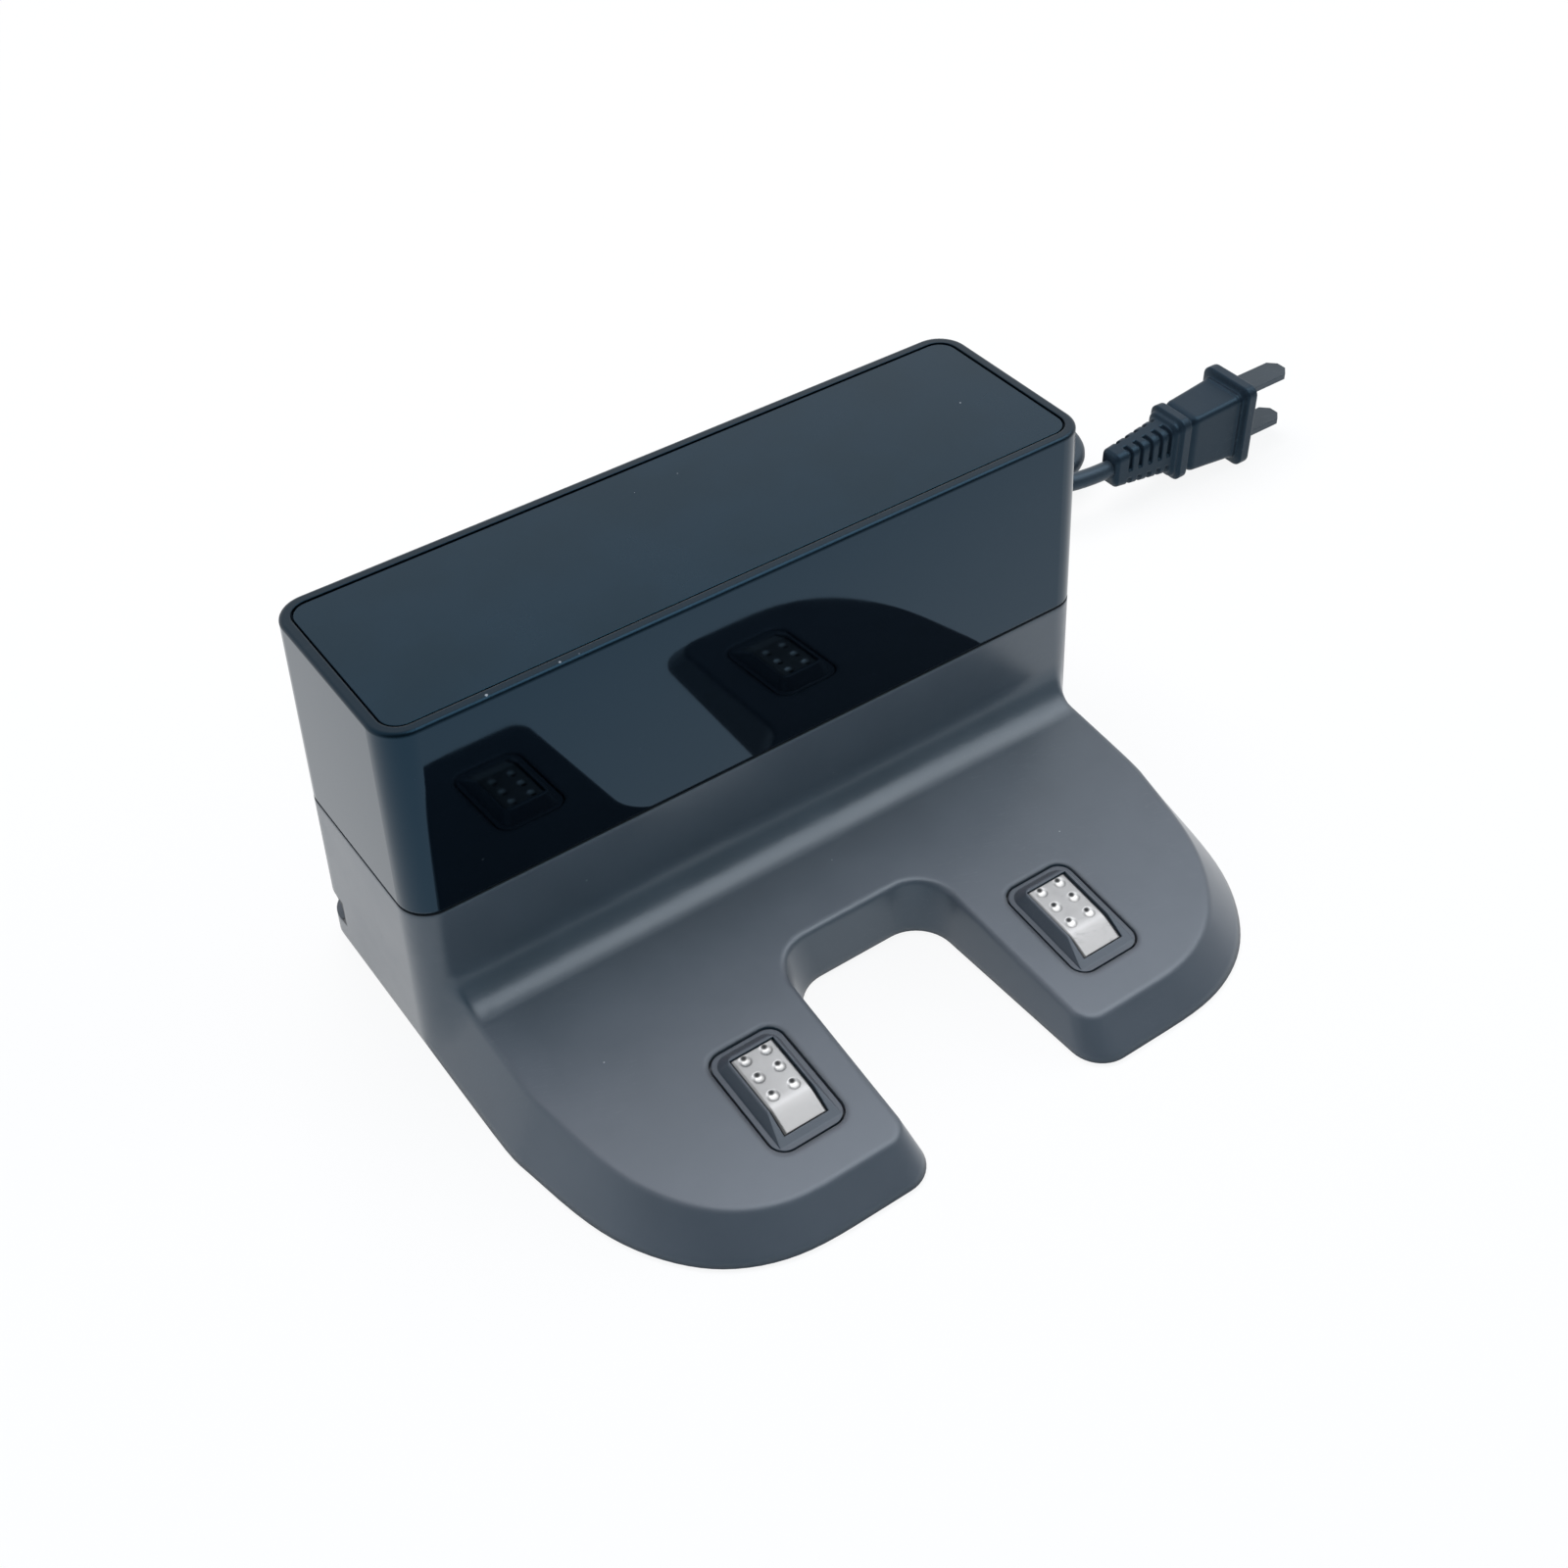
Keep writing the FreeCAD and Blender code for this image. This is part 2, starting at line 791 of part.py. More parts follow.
def mains_lead(offset):
    # one core of the cord, from the gland up to the input socket
    socket_z = board_top + input_size[2] / 2
    start_x = gland_x + offset
    start_y = channel_floor_y - channel_wall - gland_flange_length
    end_y = input_y + offset
    route = [
        vec(start_x, start_y, channel_z),
        vec(start_x, start_y - core_run, channel_z),
        vec(start_x - core_lean, end_y, socket_z - core_drop),
        vec(gland_x - core_lead, end_y, socket_z),
        vec(board_right, end_y, socket_z),
    ]
    return tube(route, lead_radius, "mains lead")


def emitter_board():
    half = emitter_board_half
    return box(-half, half, emitter_board_y, emitter_board_y + board_thickness,
               emitter_board_z, emitter_board_z + emitter_board_height)


def emitter(x):
    root = vec(x, emitter_board_y, emitter_z)
    barrel = Part.makeCylinder(emitter_radius, emitter_length, root, -along_y)
    dome = Part.makeSphere(emitter_radius, vec(x, emitter_board_y - emitter_length, emitter_z))
    return barrel.fuse(dome).removeSplitter()


def cord_gland():
    inside = channel_floor_y - channel_wall
    flange = Part.makeCylinder(gland_flange_radius, gland_flange_length,
                               vec(gland_x, inside - gland_flange_length, channel_z), along_y)
    neck = Part.makeCylinder(gland_neck_radius, channel_wall + gland_nose,
                             vec(gland_x, inside, channel_z), along_y)
    return flange.fuse(neck).removeSplitter()


def cord_dock_run():
    start = channel_floor_y + gland_nose
    near_run = hank_y - hank_outer_radius
    low = hank_floor + cord_radius
    route = [
        vec(gland_x, start, channel_z),
        vec(gland_x, start + exit_run, channel_z),
        vec(gland_x + join_side, near_run - join_clear, low + join_rise),
        vec(gland_x + join_side + join_run, near_run, low),
    ]
    return tube(route, cord_radius, "cord from dock")


def cord_plug_run():
    near_run = hank_y - hank_outer_radius
    high = hank_top - cord_radius
    start = plug_x - leave_reach
    route = [
        vec(start, near_run, high),
        vec(start + leave_run, near_run - leave_clear, high),
        vec(plug_x - plug_run, plug_y, plug_z),
        vec(plug_x, plug_y, plug_z),
    ]
    return tube(route, cord_radius, "cord to plug")


def cord_hank():
    near = hank_y - hank_reach
    far = hank_y + hank_reach
    hank = box(hank_left, hank_right, near, far, hank_floor, hank_top)
    ends = [upright(hank_reach, hank_floor, hank_top, x, hank_y) for x in (hank_left, hank_right)]
    return hank.fuse(ends).removeSplitter()


def hank_tie():
    # flat strap closed round the hank
    left = hank_right - tie_reach - tie_width / 2
    right = left + tie_width
    near = hank_y - hank_reach
    far = hank_y + hank_reach
    outer = box(left, right, near - hank_floor, far + hank_floor, 0, hank_top + hank_floor)
    inner = box(left - overrun, right + overrun, near, far, hank_floor, hank_top)
    return outer.cut(inner)


def plug_section(x, size, radius):
    half_y = size[0] / 2
    half_z = size[1] / 2
    outline = rounded_outline(rectangle(-half_y, half_y, -half_z, half_z), radius, lambda y: 0.0)
    upended = FreeCAD.Rotation(along_y, vec(0, 0, 1), across_x)
    outline.Placement = FreeCAD.Placement(vec(x, plug_y, plug_z), upended)
    return outline


def plug_piece(x, length, start, end, radius):
    sections = [plug_section(x, start, radius), plug_section(x + length, end, radius)]
    return Part.makeLoft(sections, True, True)


def relief_slot(number):
    # one pair of side slots and one pair of edge slots of the ribbed strain relief
    share = (number + relief_slot_start) / (relief_slots + relief_slot_end)
    x = plug_x + relief_length * share - relief_slot_width / 2
    far = x + relief_slot_width
    half_y = mix(relief_start[0], relief_end[0], share) / 2
    half_z = mix(relief_start[1], relief_end[1], share) / 2
    tall = side_slot_share * half_z
    broad = edge_slot_share * half_y
    cuts = []
    for side in (-1, 1):
        ys = sorted((plug_y + side * (half_y - relief_slot_depth), plug_y + side * 2 * half_y))
        cuts.append(box(x, far, ys[0], ys[1], plug_z - tall, plug_z + tall))
        zs = sorted((plug_z + side * (half_z - relief_slot_depth), plug_z + side * 2 * half_z))
        cuts.append(box(x, far, plug_y - broad, plug_y + broad, zs[0], zs[1]))
    return cuts


def plug_body():
    collar_x = plug_x + relief_length
    groove_x = collar_x + collar_length
    nose_x = groove_x + groove_length
    grip_x = nose_x + nose_length
    shoulder_x = grip_x + grip_length
    flange_x = shoulder_x + shoulder_length
    small = plug_round / 2
    relief = plug_piece(plug_x, relief_length, relief_start, relief_end, small)
    collar = plug_piece(collar_x, collar_length, collar_size, collar_size, plug_round)
    groove = plug_piece(groove_x, groove_length, groove_size, groove_size, small)
    nose = plug_piece(nose_x, nose_length, groove_size, grip_start, small)
    grip = plug_piece(grip_x, grip_length, grip_start, grip_end, small)
    shoulder = plug_piece(shoulder_x, shoulder_length, shoulder_size, shoulder_size, plug_round)
    flange = plug_piece(flange_x, flange_length, flange_size, flange_size, plug_round)
    for number in range(relief_slots):
        relief = relief.cut(relief_slot(number))
    return relief.fuse([collar, groove, nose, grip, shoulder, flange]).removeSplitter()


def plug_blade(side):
    held = relief_length + collar_length + groove_length + nose_length + grip_length
    root = plug_x + held + shoulder_length + flange_length
    z = plug_z + side * blade_spacing / 2 - blade_thickness / 2
    half = blade_width / 2
    tip = root + blade_length
    shoulder = tip - blade_taper
    nose = half - blade_taper
    corners = [vec(root, -half), vec(shoulder, -half), vec(tip, -nose)]
    corners += [vec(tip, nose), vec(shoulder, half), vec(root, half)]
    blade = Part.Face(Part.makePolygon(corners + corners[:1])).extrude(vec(0, 0, blade_thickness))
    blade.translate(vec(0, plug_y, z))
    return blade


def build():
    pieces = {
        "base_housing": base_housing(),
        "upper_housing": upper_housing(),
        "top_plate": top_plate(),
        "bottom_plate": bottom_plate(),
        "bottom_screws": bottom_screws(),
        "power_board": power_board(),
        "board_screws": board_screws(),
        "transformer": transformer(),
        "bulk_capacitor": bulk_capacitor(),
        "input_socket": input_socket(),
        "output_socket": output_socket(),
        "emitter_board": emitter_board(),
        "cord_gland": cord_gland(),
        "mains_lead_live": mains_lead(-core_offset),
        "mains_lead_neutral": mains_lead(core_offset),
        "cord_dock_run": cord_dock_run(),
        "cord_hank": cord_hank(),
        "hank_tie": hank_tie(),
        "cord_plug_run": cord_plug_run(),
        "plug_body": plug_body(),
        "plug_blade_upper": plug_blade(1),
        "plug_blade_lower": plug_blade(-1),
    }
    for name, x in zip(("left", "centre", "right"), emitter_places):
        pieces["emitter_" + name] = emitter(x)
    for name, side in (("left", -1), ("right", 1)):
        pieces["contact_carrier_" + name] = contact_carrier(side)
        pieces["contact_plate_" + name] = contact_plate(side)
        pieces["contact_terminal_" + name] = contact_terminal(side)
        pieces["contact_lead_" + name] = contact_lead(side)
        for place, offset in zip(("rear", "front"), spring_places):
            pieces["contact_spring_" + name + "_" + place] = contact_spring(side, offset)
        for place, x, y in foot_places():
            pieces["foot_" + place + "_" + name] = foot(side * x, y)
    return pieces


os.makedirs("parts", exist_ok=True)
for node, shape in build().items():
    print(node, shape.isValid(), len(shape.Solids), round(shape.Volume, 1))
    shape.exportStep("parts/" + node + ".step")
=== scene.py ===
import json
import math

import bpy
import numpy as np
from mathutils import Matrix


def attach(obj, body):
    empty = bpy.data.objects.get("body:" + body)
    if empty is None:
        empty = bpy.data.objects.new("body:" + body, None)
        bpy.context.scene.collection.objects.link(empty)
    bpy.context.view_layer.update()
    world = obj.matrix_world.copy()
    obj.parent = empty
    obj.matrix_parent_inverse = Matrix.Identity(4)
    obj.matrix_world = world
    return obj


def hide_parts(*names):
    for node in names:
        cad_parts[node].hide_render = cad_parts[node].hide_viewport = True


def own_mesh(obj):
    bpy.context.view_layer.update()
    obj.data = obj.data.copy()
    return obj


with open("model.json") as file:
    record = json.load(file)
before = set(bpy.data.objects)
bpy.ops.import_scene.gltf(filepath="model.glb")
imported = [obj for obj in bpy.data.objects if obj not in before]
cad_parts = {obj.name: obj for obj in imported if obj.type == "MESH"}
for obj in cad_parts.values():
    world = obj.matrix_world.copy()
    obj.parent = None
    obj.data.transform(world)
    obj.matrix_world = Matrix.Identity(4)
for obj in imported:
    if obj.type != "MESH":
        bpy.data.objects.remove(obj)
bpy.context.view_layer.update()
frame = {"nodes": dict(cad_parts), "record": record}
nodes = frame["nodes"]
scene = bpy.context.scene
print("frame loaded")

# Camera: the photograph's own place, turn and focal length.
camera = {
    "place": (-0.14813885, -0.20887597, 0.28085755),
    "turn": (46.39018, 1.40280, -35.25295),
    "lens": 45.7089,
    "sensor": 36.0,
    "near": 0.01,
}
eye = bpy.data.objects.new("viewCamera", bpy.data.cameras.new("viewCamera"))
eye.location = camera["place"]
eye.rotation_euler = [math.radians(angle) for angle in camera["turn"]]
eye.data.lens = camera["lens"]
eye.data.sensor_width = camera["sensor"]
eye.data.clip_start = camera["near"]
scene.collection.objects.link(eye)
scene.camera = eye
print("camera set")

# Mains cord, in metres: out of the gland, five turns of hank behind the dock, then to the plug. A turn is
# (end radius, height, centre of its right end, centre of its left end); the sixth row is where the fifth turn ends.
cord = {
    "radius": 0.0021,
    "length": 1.19,
    "fromDock": [(0.034, 0.0515, 0.0081), (0.034, 0.0635, 0.0081),
                 (0.0415, 0.0750, 0.0041), (0.0560, 0.0771, 0.0029)],
    "toPlug": [(0.0970, 0.0772, 0.0114), (0.1100, 0.07555, 0.0114),
               (0.1215, 0.0684, 0.0108), (0.1335, 0.0684, 0.0108)],
    "middle": 0.0901,
    "turns": [
        (0.01295, 0.0029, 0.1222, 0.0502),
        (0.0087, 0.0029, 0.1240, 0.0490),
        (0.0087, 0.00715, 0.1232, 0.0497),
        (0.01295, 0.00715, 0.1254, 0.0490),
        (0.0087, 0.0114, 0.1215, 0.0506),
        (0.01295, 0.0114, 0.1215, 0.0490),
    ],
    # where on its left end each turn moves to the next one's radius and height, as shares of the half circle
    "shifts": [((0.60, 1.0), (0.60, 1.0)), ((0.3, 0.55), (0.3, 0.55)), ((0.0, 0.3), (0.0, 0.3)),
               ((0.35, 0.8), (-0.1, 0.2)), ((0.35, 0.8), (0.35, 0.8))],
    # rise of the last turn over the one below it, and how much sooner than the half circle it is over
    "hump": 0.0043,
    "humpRate": 1.1,
    "endSteps": 9,
    "bevelSteps": 6,
    "lineSteps": 8,
}


def eased(share, span):
    # smooth step: 3t^2 - 2t^3 of the share's way through the span
    t = np.clip((share - span[0]) / (span[1] - span[0]), 0, 1)
    return t * t * (3 - 2 * t)


def hankPoints(spec):
    # each turn: half a circle at the right end, half at the left end that eases into the next turn; over the last
    # bend the height gains the hump times a squared sine
    share = np.linspace(0, 1, spec["endSteps"])
    points = []
    for number, (here, after) in enumerate(zip(spec["turns"], spec["turns"][1:])):
        radius, height, right, left = here
        turn = math.pi * (share - 0.5)
        ring = np.stack([right + radius * np.cos(turn), spec["middle"] + radius * np.sin(turn),
                         np.full_like(turn, height)], axis=1)
        across, upward = spec["shifts"][number]
        reach = radius + (after[0] - radius) * eased(share, across)
        level = height + (after[1] - height) * eased(share, upward)
        if number == len(spec["turns"]) - 2:
            level = level + spec["hump"] * np.sin(math.pi * np.clip(share * spec["humpRate"], 0, 1)) ** 2
        turn = math.pi * (share + 0.5)
        bend = np.stack([left + reach * np.cos(turn), spec["middle"] + reach * np.sin(turn), level], axis=1)
        points += ring.tolist() + bend.tolist()
    return points


def splineCurve(name, points, spec):
    # one smooth line drawn by the route's control points, with a round section of the points' own radius
    data = bpy.data.curves.new(name, "CURVE")
    data.dimensions = "3D"
    spline = data.splines.new("NURBS")
    spline.points.add(len(points) - 1)
    spline.points.foreach_set("co", np.column_stack([points, np.ones(len(points))]).ravel())
    spline.points.foreach_set("radius", np.full(len(points), spec["radius"]))
    spline.order_u = 3
    spline.use_endpoint_u = True
    data.bevel_depth = 1.0
    data.bevel_resolution = spec["bevelSteps"]
    data.resolution_u = spec["lineSteps"]
    data.use_fill_caps = True
    obj = bpy.data.objects.new(name, data)
    scene.collection.objects.link(obj)
    return obj


cordPiece = splineCurve("mainsCord", cord["fromDock"] + hankPoints(cord) + cord["toPlug"], cord)
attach(cordPiece, "dock")
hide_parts("cord_dock_run", "cord_hank", "cord_plug_run")
print("cord laid")

# Plug: rows of (distance from the cord end, half breadth, half height, corner radius), in millimetres.
plug = {
    "end": (133.0, 68.4, 10.8),
    "rows": [
        (0.0, 2.35, 3.75, 1.5), (0.5, 2.95, 4.45, 1.7), (16.2, 4.20, 6.30, 2.3), (16.4, 4.9, 7.2, 2.3),
        (17.5, 5.0, 7.3, 2.3), (17.7, 5.8, 8.3, 2.3), (20.2, 5.75, 8.25, 2.3), (20.45, 4.8, 6.8, 1.6),
        (21.4, 4.7, 6.7, 1.4), (21.7, 5.0, 7.05, 1.4), (22.2, 5.28, 7.35, 1.4), (22.8, 5.42, 7.5, 1.4),
        (28.0, 5.65, 7.9, 1.4), (33.6, 5.95, 8.4, 1.5), (34.7, 6.0, 8.5, 1.5), (34.9, 6.2, 8.8, 1.8),
        (36.1, 6.2, 8.8, 1.8), (36.3, 7.75, 10.75, 2.4), (38.8, 7.75, 10.75, 2.4), (39.0, 7.6, 10.6, 2.2),
    ],
    # slots in the strain relief: places along it, where one starts and stops fading, and its depth
    "slots": [3.9, 6.8, 9.7, 12.5, 15.1],
    "slotFade": (0.38, 0.73),
    "slotDepth": 1.0,
    # where slots fade round the section, as shares of its half breadth and half height
    "sideFade": ((-0.95, -0.75), (-0.12, 0.0)),
    "upperFade": ((-0.22, -0.1), (0.75, 0.9)),
    "lowerFade": ((-0.6, -0.45), (-0.62, -0.5)),
    "stations": 420,
    "soften": 0.16,
    "softenReach": 8,
    "flats": (14, 26),
    "arc": 9,
}


def roundedSection(breadth, height, radius, flats, arc):
    # one rounded rectangle a station: four arcs about the corner centres, joined by flats; also the outward way
    corners = [(1, 1, 0.0), (-1, 1, 0.5), (-1, -1, 1.0), (1, -1, 1.5)]
    rows, ways = [], []
    for number, (sideY, sideZ, start) in enumerate(corners):
        turn = math.pi * (start + np.linspace(0, 0.5, arc))
        way = np.stack([np.cos(turn), np.sin(turn)], axis=1)
        centre = np.stack([sideY * (breadth - radius), sideZ * (height - radius)], axis=1)
        bend = centre[:, None, :] + radius[:, None, None] * way[None]
        count = flats[number % 2]
        share = np.linspace(0, 1, count + 2)[1:-1]
        ahead = corners[(number + 1) % 4]
        toward = np.stack([ahead[0] * (breadth - radius), ahead[1] * (height - radius)], axis=1)
        lift = radius[:, None, None] * way[-1][None, None]
        flat = centre[:, None, :] * (1 - share)[None, :, None] + toward[:, None, :] * share[None, :, None] + lift
        rows += [bend, flat]
        ways += [way, np.repeat(way[-1:], count, axis=0)]
    return np.concatenate(rows, axis=1), np.concatenate(ways)


def closedTube(name, rings, first, last):
    # skin over rings of points, closed by a fan at each end
    count, around = rings.shape[:2]
    points = np.concatenate([rings.reshape(-1, 3), [first], [last]])
    here = np.arange(around)
    after = (here + 1) % around
    base = (np.arange(count - 1) * around)[:, None]
    quads = np.stack([base + here, base + after, base + around + after, base + around + here], axis=2).reshape(-1, 4)
    lastRow = (count - 1) * around
    fans = [(int(b), int(a), count * around) for a, b in zip(here, after)]
    fans += [(int(lastRow + a), int(lastRow + b), count * around + 1) for a, b in zip(here, after)]
    mesh = bpy.data.meshes.new(name)
    mesh.from_pydata(points.tolist(), [], [row[::-1] for row in quads.tolist()] + [row[::-1] for row in fans])
    mesh.polygons.foreach_set("use_smooth", np.ones(len(mesh.polygons), dtype=bool))
    obj = bpy.data.objects.new(name, mesh)
    scene.collection.objects.link(obj)
    return obj


def plugShell(spec):
    # rounded sections along the axis, softened at the steps; slots sink where their pulse along the axis meets
    # their span round the section: one over the near upper corner, one at the near lower corner, and both turned over
    rows = np.array(spec["rows"])
    along = np.linspace(rows[0, 0], rows[-1, 0], spec["stations"])
    step = along[1] - along[0]
    offsets = np.arange(-spec["softenReach"], spec["softenReach"] + 1)
    weights = np.exp(-0.5 * (offsets * step / spec["soften"]) ** 2)
    weights /= weights.sum()
    sizes = []
    for column in (1, 2, 3):
        values = np.interp(along[:, None] + offsets * step, rows[:, 0], rows[:, column])
        sizes.append(values @ weights)
    section, ways = roundedSection(*sizes, spec["flats"], spec["arc"])
    shareY = section[:, :, 0] / sizes[0][:, None]
    shareZ = section[:, :, 1] / sizes[1][:, None]
    pulse = np.zeros_like(along)
    for place in spec["slots"]:
        pulse = np.maximum(pulse, 1 - eased(np.abs(along - place), spec["slotFade"]))
    span = np.zeros_like(shareY)
    for flip in (1, -1):
        y, z = shareY * flip, shareZ * flip
        nearSide = (1 - eased(y, spec["sideFade"][0])) * eased(z, spec["sideFade"][1])
        upper = (1 - eased(y, spec["upperFade"][0])) * eased(z, spec["upperFade"][1])
        lower = (1 - eased(y, spec["lowerFade"][0])) * (1 - eased(z, spec["lowerFade"][1]))
        span = np.maximum.reduce([span, nearSide, upper, lower])
    section = section - ways[None] * (spec["slotDepth"] * pulse[:, None] * span)[:, :, None]
    rings = np.concatenate([np.broadcast_to(along[:, None, None], section.shape[:2] + (1,)), section], axis=2)
    end = np.array(spec["end"])
    tips = [np.array([along[0], 0, 0]), np.array([along[-1], 0, 0])]
    return closedTube("plugShell", (rings + end) / 1000, *[(tip + end) / 1000 for tip in tips])


plugPiece = plugShell(plug)
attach(plugPiece, "dock")
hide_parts("plug_body")
print("plug shaped")

# Strap round the hank, in millimetres: where it lies along the hank, its middle, half breadth and half height,
# corner radius and thickness.
strap = {
    "span": (67.0, 77.0),
    "middle": (90.1, 7.15),
    "half": (15.85, 7.15),
    "corner": 2.8,
    "thick": 0.8,
    "flats": (24, 10),
    "arc": 9,
}


def tieStrap(spec):
    # band: an outer rounded rectangle and one a thickness smaller inside it, joined along both edges
    loops = []
    for inset, places in ((0.0, spec["span"]), (spec["thick"], spec["span"][::-1])):
        sizes = [np.array([size - inset]) for size in (*spec["half"], spec["corner"])]
        loop = roundedSection(*sizes, spec["flats"], spec["arc"])[0][0] + np.array(spec["middle"])
        loops += [np.column_stack([np.full(len(loop), place), loop]) for place in places]
    around = len(loops[0])
    here = np.arange(around)
    after = (here + 1) % around
    quads = []
    for number in range(4):
        base, ahead = number * around, (number + 1) % 4 * around
        quads.append(np.stack([here + base, after + base, after + ahead, here + ahead], axis=1))
    mesh = bpy.data.meshes.new("tieStrap")
    mesh.from_pydata((np.concatenate(loops) / 1000).tolist(), [], np.concatenate(quads).tolist())
    mesh.polygons.foreach_set("use_smooth", np.arange(4 * around) // around % 2 == 0)
    obj = bpy.data.objects.new("tieStrap", mesh)
    scene.collection.objects.link(obj)
    return obj


strapPiece = tieStrap(strap)
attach(strapPiece, "dock")
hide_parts("hank_tie")
print("strap shaped")

# Contact plates, in millimetres about the contact's middle on the ramp: flat on top, then a slope down to the front,
# with six pits. Rear is the way in which a pit's painted shade spot lies from its middle.
contact = {
    "places": {"left": -33.2, "right": 33.2},
    "y": -32.5,
    "level": 8.851,
    "tilt": 5.67,
    "half": 4.5,
    "rear": 7.65,
    "front": -8.7,
    "bend": -4.25,
    "bendSoft": 0.264,
    "top": 2.1,
    "end": 0.45,
    "thick": 0.6,
    "roll": (0.75, 0.9),
    "trim": 0.15,
    "pits": [(x, y) for y in (6.35, 2.3, -1.95) for x in (-2.15, 2.15)],
    "pitRadius": 1.2,
    "pitDepth": 0.14,
    "pitRear": (0.1, 0.995),
    "steps": (126, 230),
    # share of the grid that crowds towards the edges, across and along
    "crowd": (0.4, 0.25),
}


def stripLevel(spec, y):
    # flat, then a straight fall, joined by a round: half of both lines' sum less a softened root of their squared gap
    slope = (spec["top"] - spec["end"]) / (spec["bend"] - spec["front"])
    fall = spec["top"] + slope * (y - spec["bend"])
    return 0.5 * (spec["top"] + fall - np.sqrt((spec["top"] - fall) ** 2 + spec["bendSoft"] * slope))


def pitFall(spec, x, y):
    # cups: the greatest of spherical caps, each the ball's height over its rim at a distance from the pit's middle
    radius, depth = spec["pitRadius"], spec["pitDepth"]
    ball = (radius ** 2 + depth ** 2) / (2 * depth)
    fall = np.zeros_like(x)
    for middleX, middleY in spec["pits"]:
        far = np.minimum(np.hypot(x - middleX, y - middleY), radius)
        fall = np.maximum(fall, np.sqrt(ball ** 2 - far ** 2) - (ball - depth))
    return fall


# distance, in radii, that stands for no pit
outside = 2.0


def pitMap(spec, x, y):
    # for the nearest pit: the offset towards its rear and the distance from its middle, both over its radius
    rearX, rearY = spec["pitRear"]
    nearest = np.full_like(x, outside)
    offset = np.zeros_like(x)
    for middleX, middleY in spec["pits"]:
        far = np.hypot(x - middleX, y - middleY) / spec["pitRadius"]
        here = far < nearest
        toRear = ((x - middleX) * rearX + (y - middleY) * rearY) / spec["pitRadius"]
        offset = np.where(here, toRear, offset)
        nearest = np.minimum(nearest, far)
    return np.stack([offset, nearest], axis=2).reshape(-1, 2)


def contactPlate(side, spec):
    # grid over the strip, closer at its edges by sine and cosine: its level, less the cups, less a round down both
    # sides and a trim at the ends; closed below, then tilted with the ramp
    across, along = spec["steps"]
    crowdX, crowdY = spec["crowd"]
    spread = np.linspace(-1, 1, across)
    x = spec["half"] * ((1 - crowdX) * spread + crowdX * np.sin(spread * math.pi / 2))
    share = np.linspace(0, 1, along)
    share = (1 - crowdY) * share + crowdY * (0.5 - 0.5 * np.cos(math.pi * share))
    y = spec["front"] + (spec["rear"] - spec["front"]) * share
    x, y = np.meshgrid(x, y)
    level = stripLevel(spec, y)
    breadth, radius = spec["roll"]
    into = np.clip(breadth - (spec["half"] - np.abs(x)), 0, breadth)
    rolled = radius - np.sqrt(radius ** 2 - into ** 2)
    into = np.clip(spec["trim"] - np.minimum(spec["rear"] - y, y - spec["front"]), 0, spec["trim"])
    rolled = np.maximum(rolled, spec["trim"] - np.sqrt(spec["trim"] ** 2 - into ** 2))
    top = np.stack([x, y, level - pitFall(spec, x, y) - rolled], axis=2).reshape(-1, 3)
    under = np.stack([x, y, level - spec["thick"]], axis=2).reshape(-1, 3)
    number = np.arange(along * across).reshape(along, across)
    quads = np.stack([number[:-1, :-1], number[:-1, 1:], number[1:, 1:], number[1:, :-1]], axis=2).reshape(-1, 4)
    ring = np.concatenate([number[0, :-1], number[:-1, -1], number[-1, :0:-1], number[:0:-1, 0]])
    after = np.roll(ring, -1)
    count = along * across
    sides = np.stack([ring, ring + count, after + count, after], axis=1)
    points = np.concatenate([top, under])
    angle = math.radians(spec["tilt"])
    turned = points[:, 1] * math.cos(angle) - points[:, 2] * math.sin(angle)
    lifted = points[:, 1] * math.sin(angle) + points[:, 2] * math.cos(angle)
    moved = [points[:, 0] + spec["places"][side], turned + spec["y"], lifted + spec["level"]]
    points = np.stack(moved, axis=1) / 1000
    mesh = bpy.data.meshes.new("contactPlate" + side.title())
    mesh.from_pydata(points.tolist(), [], np.concatenate([quads, quads[:, ::-1] + count, sides]).tolist())
    mesh.polygons.foreach_set("use_smooth", np.arange(len(mesh.polygons)) < len(quads))
    corners = np.zeros(len(mesh.loops), dtype=np.int32)
    mesh.loops.foreach_get("vertex_index", corners)
    pitPlaces = np.concatenate([pitMap(spec, x, y), np.full((count, 2), outside)])
    mesh.uv_layers.new(name="pits").data.foreach_set("uv", pitPlaces[corners].ravel())
    obj = bpy.data.objects.new(mesh.name, mesh)
    scene.collection.objects.link(obj)
    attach(obj, "contact_" + side)
    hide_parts("contact_plate_" + side)
    return obj


platePieces = [contactPlate(side, contact) for side in contact["places"]]
print("contact plates shaped")

# Springs under the plates, in metres: the seat they stand on and how far a plate sinks. Each spring gets its own
# copy of its mesh.
spring = {"seat": 0.0029, "travel": 0.002, "places": ("rear", "front")}
for side, across in contact["places"].items():
    for place in spring["places"]:
        node = nodes["contact_spring_" + side + "_" + place]
        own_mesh(node)


def put(tree, kind, sockets=None, **settings):
    # one node: its own fields by name, its sockets as constants or links
    node = tree.nodes.new(kind)
    for field, value in settings.items():
        setattr(node, field, value)
    for key, value in (sockets or {}).items():
        if isinstance(value, bpy.types.NodeSocket):
            tree.links.new(value, node.inputs[key])
        else:
            node.inputs[key].default_value = value
    return node


